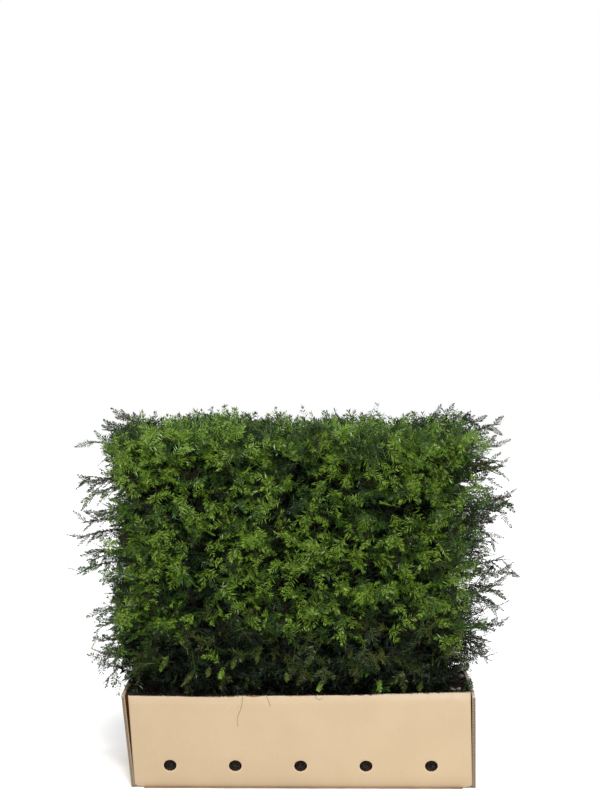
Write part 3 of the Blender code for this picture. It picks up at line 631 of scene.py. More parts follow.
def soil_shape():
    """A lumpy top, and a skirt down the four sides, crumbly where it shows through the drain holes."""
    columns, rows, levels = (int(size / SOIL_STEP) for size in (SOIL_LENGTH, 2 * SOIL_HALF_Y, SOIL_LEVEL))
    share, y = np.linspace(0, 1, columns), np.linspace(-SOIL_HALF_Y, SOIL_HALF_Y, rows)
    x = soil_across(share, SOIL_LEVEL)
    height = soil_height(x, y[:, None])
    shapes = [(grid_points(x, y[:, None], height), grid_quads(rows, columns))]
    for side, rim in ((FRONT, height[0]), (BACK, height[-1])):
        z = SOIL_FOOT + (rim - SOIL_FOOT) * np.linspace(0, 1, levels)[:, None]
        wall_x = soil_across(share, z)
        crumbs = 0.0022 * value_noise(wall_x, z, 0.009, 5 + side)
        crumbs = crumbs + 0.0014 * value_noise(wall_x, z, 0.0053, 8)
        fade = np.clip((rim - z) / 0.01, 0, 1)
        wall_y = side * (SOIL_HALF_Y - (0.0055 + crumbs) * fade + bulge(wall_x, z, BACK))
        shapes.append((grid_points(wall_x, wall_y, z), grid_quads(levels, columns)))
    for share, rim in ((0, height[:, 0]), (1, height[:, -1])):
        z = np.stack([np.full(rows, SOIL_FOOT), rim])
        shapes.append((grid_points(soil_across(share, z), y, z), grid_quads(2, rows)))
    return joined(*shapes)


def speckled(name, roughness, gloss, grain, stops, strength, depth, relief=None):
    """A finish whose colour runs through stops by noise of a grain, its scale, octaves and their share,
    with a bump from the same noise or from a finer relief."""
    made, add, link = shader_nodes(name, roughness, gloss=gloss)
    place = add("ShaderNodeTexCoord").outputs["Object"]
    speckle = noise(add, place, *grain)
    link(ramp(add, speckle, stops), "Base Color")
    bumped(add, link, noise(add, place, *relief) if relief else speckle, strength, depth)
    return made


soil_stops = ((0.38, SOIL_BLACK), (0.55, SOIL_BROWN), (0.72, SOIL_GREY))
soil_surface = speckled("damp_soil", 0.93, 0.10, (240.0, 5.0, 0.7), soil_stops, 0.9, 0.002)
soil = made_piece("soil_surface", *soil_shape(), soil_surface, "soil", ["soil"])
seams_closed(soil)

# Stems: four from the one root ball, with thin reddish-brown bark that flakes in long plates. Each
# flares at the soil, sways a little and tapers to its tip inside the crown.

SEED = 31
STEM_X = (-0.375, -0.125, 0.125, 0.375)
SOIL_TOP, STEM_TIP, STEM_POINTS = 0.252, 0.930, 7
STEM_RADIUS_LOW, STEM_RADIUS_TIP = 0.0125, 0.0045
FLARE_RADIUS, FLARE_HEIGHT = 0.022, 0.030
STEM_SWAY_X, STEM_SWAY_Y, STEM_LEAN = 0.014, 0.004, 0.020
COLUMN_NAMES, TIER_NAMES = ("a", "b", "c", "d"), ("low", "middle", "top")
BARK_DARK, BARK_RED, BARK_PALE = (0.018, 0.011, 0.008), (0.055, 0.031, 0.021), (0.110, 0.073, 0.050)


def stem_line(index):
    """The stem's points and radii by the same sines and seeded phases as its solid."""
    rng = np.random.default_rng([SEED, 1, index])
    phase_x, phase_y = 2 * math.pi * rng.random(2)
    lean = STEM_LEAN * (rng.random() - 0.5)
    t = np.arange(STEM_POINTS) / (STEM_POINTS - 1)
    x = STEM_X[index] + STEM_SWAY_X * (np.sin(5 * t + phase_x) - math.sin(phase_x)) + lean * t
    y = STEM_SWAY_Y * (np.sin(6 * t + phase_y) - math.sin(phase_y))
    start = SOIL_TOP + FLARE_HEIGHT
    points = np.stack([x, y, start + (STEM_TIP - start) * t], 1)
    radii = STEM_RADIUS_LOW + (STEM_RADIUS_TIP - STEM_RADIUS_LOW) * t
    foot = np.array([[STEM_X[index], 0.0, SOIL_TOP - 0.006]])
    return np.concatenate([foot, points]), np.concatenate([[FLARE_RADIUS], radii])


def resampled(points, radii, steps):
    """A smooth line through the points at even steps of their running length, and its radii."""
    run = np.concatenate([[0], np.cumsum(np.linalg.norm(np.diff(points, axis=0), axis=1))])
    place = np.linspace(0, run[-1], steps)
    line = np.stack([np.interp(place, run, points[:, k]) for k in range(3)], 1)
    for _ in range(3):
        line[1:-1] = (line[:-2] + 2 * line[1:-1] + line[2:]) / 4
    return line, np.interp(place, run, radii)


def bark_limb(points, radii, steps, sides, seed):
    """A limb's skin: rings square to the line, whose radius is raised by flaking plates of value noise."""
    line, radius = resampled(points, radii, steps)
    along = unit(np.gradient(line, axis=0))
    helper = np.array([0.0, 0.0, 1.0]) if abs(along[0, 2]) < 0.7 else np.array([1.0, 0.0, 0.0])
    side = unit(np.cross(along, helper))
    other = np.cross(along, side)
    turn = np.linspace(0, 2 * math.pi, sides + 1)[:-1]
    run = np.linspace(0, np.linalg.norm(np.diff(line, axis=0), axis=1).sum(), steps)[:, None]
    plates = value_noise(np.cos(turn) * 0.02 + run * 0, run * 0.35 + np.sin(turn) * 0.02, 0.0045, seed)
    ridges = value_noise(np.cos(turn) * 0.03 + run * 0, run * 0.12 + np.sin(turn) * 0.03, 0.008, seed + 1)
    relief = 1 + 0.10 * np.sign(plates) * np.abs(plates) ** 0.5 + 0.10 * ridges
    ring = side[:, None] * np.cos(turn)[:, None] + other[:, None] * np.sin(turn)[:, None]
    skin = line[:, None] + ring * (radius[:, None] * relief)[..., None]
    skin[-1] = line[-1] + (skin[-1] - line[-1]) * 0.3
    return skin.reshape(-1, 3), grid_quads(steps, sides, closed=True)


def bark_material():
    """Yew bark: reddish brown, paler where plates have flaked, streaked along the limb."""
    made, add, link = shader_nodes("yew_bark", 0.85, gloss=0.10)
    place = add("ShaderNodeTexCoord").outputs["Object"]
    streaks = noise(add, stretched(add, place, (1.0, 1.0, 0.25)), 260.0, 4.0, 0.6)
    patches = noise(add, place, 60.0, 2.0)
    colour = ramp(add, streaks, ((0.35, BARK_DARK), (0.55, BARK_RED), (0.72, BARK_PALE)))
    colour = mixed(add, patches, colour, BARK_DARK, "MULTIPLY")
    link(mixed(add, 0.5, colour, BARK_RED), "Base Color")
    bumped(add, link, streaks, 0.8, 0.0012)
    return made


bark = bark_material()
stems = [stem_line(index) for index in range(len(STEM_X))]
for name, (points, radii) in zip(COLUMN_NAMES, stems):
    skin = bark_limb(points, radii, 150, 18, 40)
    made_piece("bark_stem_" + name, *skin, bark, "bark", ["stem_" + name])

# Boughs: one from a stem into each mass of foliage, rising from the stem and bending in. They are
# the same wood and bark as the stems.

CROWN_LEFT, CROWN_RIGHT, CROWN_HALF_DEPTH = -0.555, 0.568, 0.205
CROWN_BOTTOM, CROWN_TOP, TIER_EDGES = 0.350, 1.045, (0.590, 0.820)
SPACE_STAGGER, INSET_SHARED, INSET_MIDDLE = 0.014, 0.004, 0.052
INSETS = ((0.060, 0.060), (0.058, 0.058), (0.050, 0.050))
BOUGH_RADIUS_BASE, BOUGH_RADIUS_TIP = 0.0060, 0.0042
BOUGH_DROP, BOUGH_ROOT_SPREAD, BOUGH_AIM_SPREAD = 0.050, 0.020, 0.050
BOUGH_ENTRY_DROP, BOUGH_ENTRY_SHARE, BOUGH_START_SLOPE, BOUGH_BEND = 0.020, 0.55, 0.55, 0.40
BOUGH_TIP_BEFORE_CORE, BOUGH_BELOW_STEM_TIP, BOUGH_END_STRETCH = 0.010, 0.030, 0.010
MASS_STEM_LENGTH, CORE_CORNERS = 0.090, 24
COLUMNS, TIERS, SIDES = range(len(STEM_X)), range(len(TIER_NAMES)), (-1, 1)


def space_of(column, tier, side):
    """Low and high corner of a mass's own space and its open faces, by the solids' rule."""
    shift = SPACE_STAGGER * side
    middles = [(a + b) / 2 + shift for a, b in itertools.pairwise(STEM_X)]
    xs = (CROWN_LEFT, *middles, CROWN_RIGHT)
    rise = shift if column % 2 else -shift
    zs = (CROWN_BOTTOM, *(z + rise for z in TIER_EDGES), CROWN_TOP)
    low = [xs[column], 0.0 if side > 0 else -CROWN_HALF_DEPTH, zs[tier]]
    high = [xs[column + 1], CROWN_HALF_DEPTH if side > 0 else 0.0, zs[tier + 1]]
    faces = [(1, side)]
    if tier == len(TIER_NAMES) - 1:
        faces.append((2, 1))
    if tier == 0:
        faces.append((2, -1))
    if column == 0:
        faces.append((0, -1))
    if column == len(STEM_X) - 1:
        faces.append((0, 1))
    return np.array(low), np.array(high), faces


def core_box(low, high, faces, side):
    """The middle of a mass, from which its twigs set out: its space set in on every face."""
    inset = np.full((2, 3), INSET_SHARED)
    inset[0 if side > 0 else 1, 1] = INSET_MIDDLE
    for axis, sign in faces:
        end = 0 if sign < 0 else 1
        inset[end, axis] = INSETS[axis][end]
    return low + inset[0], high - inset[1]


def bough_line(stem, core, side, draw):
    """A bough's line from the stem's heart to its mass: out and up, a bend, then straight in."""
    middle = (core[0] + core[1]) / 2
    middle[0] += BOUGH_AIM_SPREAD * (draw[0] - 0.5)
    height = middle[2] - BOUGH_DROP - BOUGH_ROOT_SPREAD * draw[1]
    height = min(height, STEM_TIP - BOUGH_BELOW_STEM_TIP)
    root = np.array([np.interp(height, stem[:, 2], stem[:, k]) for k in range(3)])
    entry = middle.copy()
    entry[0] = root[0] + BOUGH_ENTRY_SHARE * (middle[0] - root[0])
    entry[1] = side * (INSET_MIDDLE - BOUGH_TIP_BEFORE_CORE)
    entry[2] -= BOUGH_ENTRY_DROP
    along = unit(middle - entry)
    before = entry - BOUGH_END_STRETCH * along
    out = unit((before - root) * np.array([1, 1, BOUGH_START_SLOPE]))
    bend = root + out * BOUGH_BEND * np.linalg.norm(before - root)
    return np.array([root, bend, before, entry]), along


masses = []
for column, tier, side in itertools.product(COLUMNS, TIERS, SIDES):
    rng = np.random.default_rng([SEED, 2, column, tier, side + 1])
    low, high, faces = space_of(column, tier, side)
    core = core_box(low, high, faces, side)
    line, along = bough_line(stems[column][0], core, side, rng.random(2))
    # The solid's core draws a number for each of its corners here.
    rng.random(CORE_CORNERS)
    masses.append({
        "name": f"{COLUMN_NAMES[column]}_{TIER_NAMES[tier]}_{'front' if side < 0 else 'back'}",
        "column": column, "tier": tier, "side": side, "low": low, "high": high, "faces": faces,
        "core": core, "bough": line, "stem_end": line[-1] + along * MASS_STEM_LENGTH, "rng": rng,
    })
for column in COLUMNS:
    boughs = [mass for mass in masses if mass["column"] == column]
    radii = np.linspace(BOUGH_RADIUS_BASE, BOUGH_RADIUS_TIP, 4)
    skins = [bark_limb(mass["bough"], radii, 22, 10, 60) for mass in boughs]
    names = ["bough_" + mass["name"] for mass in boughs]
    made_piece("bark_boughs_" + COLUMN_NAMES[column], *joined(*skins), bark, "bark", names)

# Twigs: each mass's stem forks to the seats of its sprays, and each seat's branch forks again to
# finer twigs that reach the clipped face. Thin brown bark; the youngest ends are green shoots.

SPRAY_PITCH = {(1, 1): 0.080, (1, -1): 0.080, (0, 1): 0.076, (0, -1): 0.076, (2, 1): 0.070, (2, -1): 0.105}
SPRAY_EDGE, SPRAY_JITTER, SPRAY_LEAN, SPRAY_ROOT_DEPTH = 0.012, 0.7, 0.9, 0.024
SPRAY_REACH_BACK = (0.095, 0.125)
SIDE_RISE, END_RISE, END_OUTWARD, TOP_OUTWARD = 1.05, 0.30, -0.10, 0.05
BELOW_DROP, BELOW_OUTWARD = 0.62, 0.75
REACHES = {(1, 1): (-0.006, 0.008), (1, -1): (-0.006, 0.008), (0, 1): (0.0, 0.032), (0, -1): (0.0, 0.032)}
REACHES |= {(2, 1): (0.0, 0.045), (2, -1): (0.0, 0.022)}
SIDE_FACE, END_FACE, TOP_FACE, UNDER_FACE = range(4)
# For the sprays of the sides, ends, top and underside: the area of face for each twig, how far its tip
# stands proud at the outside and how much less at the inside, and its way: out of the face, up, and the
# spread along the face and up and down.
AREA_PER_TWIG = (0.00038, 0.00055, 0.00035, 0.00080)
PROUD_OUTSIDE, PROUD_LESS = (-0.004, 0.020, 0.0, 0.070), (0.070, 0.100, 0.050, 0.100)
WAY_OUT, WAY_UP = (0.70, 1.0, 0.2, 0.15), (-0.30, 0.05, 1.0, -0.65)
SPREAD_WIDE, SPREAD_UP = (0.72, 0.45, 0.46, 0.50), (0.55, 0.42, 0.12, 0.30)
TOP_PROUD, CELL_OVERLAP, EVEN_STEPS = 0.042, 1.12, (0.754877, 0.569840)
LEADER_LENGTH, LATERAL_LENGTH = (0.040, 0.074), (0.024, 0.046)
OPEN_END_LEFT, OPEN_END_RIGHT, OPEN_END_WIDTH = -0.508, 0.445, 0.070
# Half depth of the clipped block, and of what hangs so low that it must stay inside the box's walls.
CLIPPED_HALF_DEPTH, LOW_HALF_DEPTH, LOW_FROM, LOW_TO = 0.200, 0.160, 0.300, 0.360
TOP_LEADER_STRETCH = 1.30
# Height of the clipped top along x, above or below the middle of the cut.
TOP_PLACES = (-0.560, -0.525, -0.385, -0.345, -0.280, -0.170, -0.120, -0.060, 0.000, 0.040, 0.080, 0.180,
              0.250, 0.290, 0.360, 0.430, 0.470, 0.550)
TOP_HEIGHTS = (-0.050, -0.022, -0.020, 0.004, 0.012, 0.000, -0.018, 0.003, -0.014, -0.020, 0.000, -0.013,
               -0.004, -0.014, -0.008, -0.016, -0.026, -0.026)
TOP_FROM, TOP_OVER = 0.900, 0.120
END_SET_BACK, END_SET_BACK_KEPT = (0.060, 0.120), 0.60
# The twigs thin out below this height, over a run of height and up to a most of them.
SPARSE_BELOW, SPARSE_RUN, SPARSE_MOST = 0.45, 0.10, 0.55


def face_way(axis, sign, side):
    """The way that the sprays of one face point, by the solids' rule."""
    if axis == 1:
        return np.array([0, sign, SIDE_RISE])
    if axis == 0:
        return np.array([sign, END_OUTWARD * side, END_RISE])
    if sign > 0:
        return np.array([0, TOP_OUTWARD * side, 1])
    return np.array([0, BELOW_OUTWARD * side, -BELOW_DROP])


def between(limits, share):
    """The value at a share of the way from the first limit to the second."""
    return limits[0] + (limits[1] - limits[0]) * share


def seats_of(mass):
    """The seats of a mass's sprays by the solids' seeded rule: root, end, face and size of the cell."""
    low, high, core, rng = mass["low"], mass["high"], mass["core"], mass["rng"]
    for axis, sign in mass["faces"]:
        others = [k for k in range(3) if k != axis]
        sizes = [high[k] - low[k] - 2 * SPRAY_EDGE for k in others]
        toward = face_way(axis, sign, mass["side"])
        counts = [max(1, round(size / SPRAY_PITCH[axis, sign])) for size in sizes]
        for cell in itertools.product(*(range(count) for count in counts)):
            draw = rng.random(7)
            tip, lean = np.zeros(3), np.zeros(3)
            tip[axis] = high[axis] if sign > 0 else low[axis]
            for k, step, count, size, jitter, tilt in zip(
                others, cell, counts, sizes, draw[:2], draw[2:4]
            ):
                tip[k] = low[k] + SPRAY_EDGE + (step + 0.5 + SPRAY_JITTER * (jitter - 0.5)) / count * size
                lean[k] = SPRAY_LEAN * (tilt - 0.5)
            way = unit(toward + lean)
            end = tip + way * between(REACHES[axis, sign], draw[5])
            root = end - way * between(SPRAY_REACH_BACK, draw[6])
            root = np.clip(root, core[0] + SPRAY_ROOT_DEPTH, core[1] - SPRAY_ROOT_DEPTH)
            spread = np.zeros((2, 3))
            spread[0, others[0]], spread[1, others[1]] = sizes[0] / counts[0], sizes[1] / counts[1]
            yield tip, root, end, spread, axis, sign


def tubes(lines, thick, thin, sides=3):
    """Three-sided twigs round many lines (n, p, 3) at once: a ring at each point, a point at the end, and a
    radius that goes evenly from thick to thin."""
    count, steps = lines.shape[:2]
    along = unit(np.gradient(lines, axis=1))
    whole = unit(lines[:, -1] - lines[:, 0])
    upright = np.abs(whole[:, 2:]) > 0.85
    helper = np.where(upright, [1.0, 0.0, 0.0], [0.0, 0.0, 1.0])[:, None]
    side = unit(np.cross(along, helper))
    other = np.cross(along, side)
    turn = 2 * math.pi * np.arange(sides) / sides
    ring = side[:, :, None] * np.cos(turn)[:, None] + other[:, :, None] * np.sin(turn)[:, None]
    rings = lines[:, :, None] + np.linspace(thick, thin, steps)[:, None, None] * ring
    points = np.concatenate([rings[:, :-1].reshape(count, -1, 3), lines[:, -1:]], 1)
    quads = grid_quads(steps - 1, sides, closed=True)
    apex = (steps - 1) * sides
    last = apex - sides + np.arange(sides)
    caps = np.stack([last, np.roll(last, -1), np.full(sides, apex)], 1)
    tris = np.concatenate([quads[:, [0, 1, 2]], quads[:, [0, 2, 3]], caps])
    starts = np.arange(count)[:, None, None] * points.shape[1]
    return points.reshape(-1, 3), (tris[None] + starts).reshape(-1, 3)


def half_depth(height):
    """How far the foliage reaches forward and back at a height: to the clipped faces, and only to the
    box's walls near the rim."""
    return np.interp(height, (LOW_FROM, LOW_TO), (LOW_HALF_DEPTH, CLIPPED_HALF_DEPTH))


def drawn_in(start, way, length):
    """A leader that would stand out of the front or back is moved in until both its ends lie within."""
    ends = np.stack([start, start + way * length[:, None]])
    low, high = ends[..., 1].min(0), ends[..., 1].max(0)
    limit = half_depth(ends[..., 2].min(0))
    shift = np.maximum(-limit - low, 0) - np.maximum(high - limit, 0)
    return start + shift[:, None] * np.array([0.0, 1.0, 0.0])


def turned_in(start, way, length):
    """A side shoot that would stand out keeps its root and is turned until its tip lies within: its y is
    held between what is left to the back and to the front, as shares of its length."""
    limit = half_depth(start[:, 2] + np.minimum(way[:, 2], 0) * length)
    turned = way.copy()
    back, front = (limit - start[:, 1]) / length, (-limit - start[:, 1]) / length
    turned[:, 1] = np.clip(way[:, 1], np.minimum(front, 0), np.maximum(back, 0))
    return unit(turned)


def curves(start, control, end, steps):
    """Quadratic curves from start to end, drawn towards a control point, at even steps."""
    t = np.linspace(0, 1, steps)[:, None]
    start, control, end = start[:, None], control[:, None], end[:, None]
    return start * (1 - t) ** 2 + control * 2 * t * (1 - t) + end * t**2


seat_rows = [(*seat, number) for number, mass in enumerate(masses) for seat in seats_of(mass)]
seat_tip, seat_root, seat_end, seat_spread = (np.array([row[k] for row in seat_rows]) for k in range(4))
seat_axis, seat_sign, seat_mass = (np.array([row[k] for row in seat_rows]) for k in (4, 5, 6))
mass_tier, mass_side = (np.array([mass[key] for mass in masses]) for key in ("tier", "side"))
mass_stem_end = np.array([mass["stem_end"] for mass in masses])
mass_bough_end = np.array([mass["bough"][-1] for mass in masses])

rng = np.random.default_rng([SEED, 3])
cell_area = seat_spread[:, 0].sum(1) * seat_spread[:, 1].sum(1)
seat_face = np.select(
    [seat_axis == 1, seat_axis == 0, seat_sign > 0], [SIDE_FACE, END_FACE, TOP_FACE], UNDER_FACE
)
seat_children = np.maximum(3, np.round(cell_area / np.array(AREA_PER_TWIG)[seat_face])).astype(int)
parent = np.repeat(np.arange(len(seat_rows)), seat_children)
order = np.concatenate([np.arange(count) for count in seat_children])
count = len(parent)
face, sign = seat_face[parent], seat_sign[parent]
side, tier = mass_side[seat_mass[parent]], mass_tier[seat_mass[parent]]
on_side, on_end, on_top, below = (face == kind for kind in (SIDE_FACE, END_FACE, TOP_FACE, UNDER_FACE))


def by_face(values):
    """The value of each twig's face, from those of the sides, ends, top and underside."""
    return np.array(values)[face]


normal = np.zeros((count, 3))
normal[np.arange(count), seat_axis[parent]] = sign
jitter = rng.random((len(seat_rows), 2))[parent]
u, v = ((0.5 + step * order + jitter[:, k]) % 1 - 0.5 for k, step in enumerate(EVEN_STEPS))
place = seat_tip[parent] + CELL_OVERLAP * (
    u[:, None] * seat_spread[parent, 0] + v[:, None] * seat_spread[parent, 1]
)
depth = rng.random(count) ** 1.1
proud = by_face(PROUD_OUTSIDE) - by_face(PROUD_LESS) * depth + on_top * TOP_PROUD * rng.random(count) ** 1.6
tip = place + normal * proud[:, None]
high_up = np.clip((tip[:, 2] - TOP_FROM) / TOP_OVER, 0, 1)
tip[:, 2] += np.interp(tip[:, 0], TOP_PLACES, TOP_HEIGHTS) * high_up

# The ends were never clipped and stay open: the nearer a twig's tip to an end, the likelier it is bare.
# Most of the bare end's own twigs are shorter ones, whose tips stay further in.
past_end = np.maximum(OPEN_END_LEFT - tip[:, 0], tip[:, 0] - OPEN_END_RIGHT) / OPEN_END_WIDTH
kept = rng.random(count) > np.clip(past_end, 0, 1)
set_back = on_end & ~kept & (rng.random(count) < END_SET_BACK_KEPT)
tip[:, 0] -= np.where(set_back, sign * between(END_SET_BACK, rng.random(count)), 0.0)
kept |= set_back
kept &= rng.random(count) > np.clip((SPARSE_BELOW - tip[:, 2]) / SPARSE_RUN, 0, SPARSE_MOST)

# Way of each leading shoot: out of its face, with a wide spread along the face, mostly drooping
# a little on the sides, upright on the top and hanging below.
spread = rng.standard_normal((count, 3))
wide, lift = by_face(SPREAD_WIDE), by_face(SPREAD_UP)
way = normal * by_face(WAY_OUT)[:, None]
way = way + spread * np.stack([wide, wide * 0.6, lift], 1)
way[:, 2] += by_face(WAY_UP)
way[:, 1] += np.where(below, 0.5 * side, 0.0)
way = unit(way)
leader = between(LEADER_LENGTH, rng.random(count)) * np.where(on_top, TOP_LEADER_STRETCH, 1.0)
start = drawn_in(tip - way * leader[:, None], way, leader)
seat_way = unit(seat_end - seat_root)
fork = 0.05 + 0.60 * rng.random(count)
fork_point = seat_root[parent] + (seat_end - seat_root)[parent] * fork[:, None]
reach = np.linalg.norm(start - fork_point, axis=1)[:, None]
twig_lines = curves(fork_point, fork_point + 0.5 * reach * seat_way[parent], start, 4)
branch_lines = curves(seat_root, (seat_root + seat_end) / 2, seat_root + 0.7 * (seat_end - seat_root), 3)
first_control = mass_stem_end[seat_mass] + 0.4 * (seat_root - mass_bough_end[seat_mass])
first_lines = curves(mass_stem_end[seat_mass], first_control, seat_root, 4)
mass_lines = curves(mass_bough_end, (mass_bough_end + mass_stem_end) / 2, mass_stem_end, 3)

# Needles: flat, pointed and two-ranked along each green shoot, longest at its middle, and closing to
# a small tuft at its tip. New growth is bright lime, older needles are deep green, and deeper in that
# deep green is also painted shade; the low sprays are painted darker as shade, with olive among them,
# and the loose ends are greyer.

NEEDLE_LENGTH, NEEDLE_WIDTH, NEEDLE_OPEN = (0.0160, 0.0225), 0.0028, 62.0
NEEDLE_UNTIDY, NEEDLE_TAPER, NEEDLE_WIDER = 0.85, 0.15, (1.0, 1.0, 1.15, 1.0)
# By how many degrees needles close in along a shoot and stray from their angle, and how far they twist.
NEEDLES_CLOSE, NEEDLES_STRAY, NEEDLES_TWIST = 30, 13, 0.95
FORK_FROM, FORK_RUN, FORK_ANGLE, FORK_ANGLE_RUN = 0.02, 0.45, 42, 16
UPPER_OUT, UPPER_RISE = (0.85, 0.5, 0.2, 0.1), (0.60, 0.9, 0.2, 0.3)
LEADER_PAIRS, LATERAL_PAIRS, LOOSE_PAIRS = 10, 7, 11
LATERALS_PER_TWIG, LATERALS_PER_TOP_TWIG = 1.20, 1.75
# Each colour's dark and light shade, and its gloss.
COLOURS = {
    "lime": ((0.078, 0.158, 0.007), (0.165, 0.270, 0.024), 0.34),
    "mid": ((0.018, 0.052, 0.004), (0.043, 0.098, 0.009), 0.26),
    "deep": ((0.006, 0.018, 0.004), (0.014, 0.038, 0.007), 0.20),
    "fresh": ((0.078, 0.170, 0.014), (0.180, 0.305, 0.048), 0.38),
    "olive": ((0.024, 0.034, 0.006), (0.052, 0.064, 0.012), 0.20),
    "dusk": ((0.012, 0.023, 0.008), (0.030, 0.048, 0.018), 0.30),
    # The inner colour is painted shade: near black, for the dark inside and underside of the crown.
    "inner": ((0.008, 0.013, 0.008), (0.015, 0.022, 0.013), 0.06),
    "bronze": ((0.024, 0.020, 0.018), (0.060, 0.050, 0.043), 0.20),
    "straw": ((0.042, 0.060, 0.006), (0.095, 0.118, 0.016), 0.20),
}
LIME, MID, DEEP, FRESH, OLIVE, DUSK, INNER_PAINTED_SHADE, BRONZE, STRAW = range(len(COLOURS))
TOP_COLOURS, TOP_SHARES = (LIME, MID, DEEP, FRESH), (0.19, 0.23, 0.30, 0.28)
# Painted shade: low down, sprays are dealt the olive, deep, dusk and near-black inner colours.
LOW_SHADE_COLOURS, LOW_SHADE_SHARES = (OLIVE, DEEP, DUSK, INNER_PAINTED_SHADE), (0.30, 0.25, 0.20, 0.25)
PAINTED_SHADE_BELOW, PAINTED_SHADE_RUN, PAINTED_SHADE_MOST = 0.50, 0.12, 0.97
BRIGHT_LIME, BRIGHT_MID = 0.10, -0.18


def needle_blades(base, way, across, length, width):
    """Each needle is a kite folded along its middle: its base, a point to each side, and its tip."""
    keel = np.cross(way, across) * (0.22 * width)[..., None]
    middle = base + way * (0.42 * length)[..., None] - keel
    aside = across * (0.5 * width)[..., None]
    return np.stack([base, middle + aside, base + way * length[..., None], middle - aside], -2)


def dressed(shoots, pairs, rng):
    """The needles of many shoots at once. A needle sets out from the shoot's curved line at an angle that
    narrows towards the tip, left and right by turns, with a little lift and twist of its own. Its length is
    0.72 plus 0.36 times a half sine along the shoot, less the taper by the square of the way. Three more
    stand at the tip."""
    count = len(shoots["start"])
    u = np.repeat((np.arange(pairs) + 0.5) / pairs, 2)
    u[1::2] += 0.4 / pairs
    hand = np.tile([1.0, -1.0], pairs)
    u, hand = np.append(u, [0.97, 0.99, 0.99]), np.append(hand, [0.25, 1.0, -1.0])
    u = np.clip(0.06 + 0.94 * u, 0, 1)
    total = len(u)
    angle = np.append(-NEEDLES_CLOSE * np.linspace(0, 1, 2 * pairs) ** 1.5, [8, 24, 24])
    angle = np.where(np.arange(total) < 2 * pairs, shoots["open"][:, None] + angle, angle)
    untidy = shoots["untidy"][:, None]
    angle = np.radians(angle + NEEDLES_STRAY * untidy * rng.standard_normal((count, total)))
    length_u = 0.72 + 0.36 * np.sin(math.pi * np.clip(u, 0, 1) ** 0.9)
    length_u = length_u * (1 - shoots["taper"][:, None] * u**2)
    along = shoots["length"][:, None, None]
    base = shoots["start"][:, None] + shoots["way"][:, None] * along * u[:, None]
    base = base + shoots["bend"][:, None] * along * (u**2)[:, None]
    tangent = unit(shoots["way"][:, None] + 2 * shoots["bend"][:, None] * u[:, None])
    up = unit(np.cross(tangent, np.broadcast_to(shoots["across"][:, None], tangent.shape)))
    across = np.cross(up, tangent)
    lift = 0.08 + (0.20 + 0.35 * u**3) * untidy * rng.standard_normal((count, total))
    way = tangent * np.cos(angle)[..., None] + across * (hand * np.sin(angle))[..., None]
    way = unit(way + up * lift[..., None])
    flat = unit(np.cross(up, way))
    twist = NEEDLES_TWIST * untidy * rng.standard_normal((count, total))
    flat = flat * np.cos(twist)[..., None] + np.cross(way, flat) * np.sin(twist)[..., None]
    size = shoots["needle"][:, None] * (length_u * (0.72 + 0.50 * rng.random((count, total))))
    width = shoots["width"][:, None] * (0.85 + 0.3 * rng.random((count, total)))
    return needle_blades(base, way, flat, size, width)


def blade_faces(blades):
    """Two triangles to each needle, on either side of its keel."""
    corners = np.arange(blades.size // 12)[:, None, None] * 4 + np.array([[0, 1, 2], [0, 2, 3]])
    return blades.reshape(-1, 3), corners.reshape(-1, 3)


def shoot_lines(shoots):
    """The green stem of each shoot: start, middle and tip of the same curve that its needles follow."""
    u = np.array([0.0, 0.5, 1.0])[None, :, None]
    along = shoots["length"][:, None, None]
    return shoots["start"][:, None] + along * (shoots["way"][:, None] * u + shoots["bend"][:, None] * u**2)


def picked(shoots, chosen):
    """The chosen ones of a set of shoots."""
    return {key: value[chosen] for key, value in shoots.items()}


def together(*sets):
    """Several sets of shoots as one."""
    return {key: np.concatenate([shoots[key] for shoots in sets]) for key in sets[0]}


def shoot_set(start, way, up, rise, **parts):
    """A set of shoots, where a single number is spread to all. Each lies in the plane square to its upper
    side, and its tip is bent up by a rise, as a share of its length. Its tier is that of its start."""
    level = np.zeros(len(start))
    shoots = {"start": start, "way": way, "across": unit(np.cross(up, way))}
    shoots["bend"] = np.stack([level, level, level + rise], 1)
    shoots["tier"] = np.digitize(start[:, 2], TIER_EDGES)
    return shoots | {key: np.array(np.broadcast_to(part, len(start))) for key, part in parts.items()}


# Upper side of each spray: outwards and up on the sides, out and up at the ends, outwards on the top.
facing = normal * by_face(UPPER_OUT)[:, None]
facing[:, 2] += by_face(UPPER_RISE)
facing[:, 1] += np.where(on_side, 0.0, side * 0.8)
facing = unit(facing + 0.38 * rng.standard_normal((count, 3)))

# Colour of each spray, dealt out by its place and a draw: lime near the clipped face, deep further in,
# partly as painted shade.
bright = 0.32 - depth + 0.28 * rng.standard_normal(count)
colour = np.select([bright > BRIGHT_LIME, bright > BRIGHT_MID], [LIME, MID], DEEP)
colour = np.where(on_top, rng.choice(TOP_COLOURS, count, p=TOP_SHARES), colour)
colour = np.where(on_end, np.where(rng.random(count) < 0.5, DUSK, MID), colour)
# Painted shade: below a height, more and more sprays take the dark low colours.
low_painted_shade = rng.random(count) < np.clip((PAINTED_SHADE_BELOW - place[:, 2]) / PAINTED_SHADE_RUN, 0, PAINTED_SHADE_MOST)
colour = np.where(low_painted_shade, rng.choice(LOW_SHADE_COLOURS, count, p=LOW_SHADE_SHARES), colour)
leaders = shoot_set(
    start, way, facing, -0.10 + 0.20 * rng.random(count), length=leader, colour=colour, tier=tier,
    needle=between(NEEDLE_LENGTH, rng.random(count)), width=NEEDLE_WIDTH * by_face(NEEDLE_WIDER),
    taper=NEEDLE_TAPER, untidy=NEEDLE_UNTIDY, open=NEEDLE_OPEN,
)


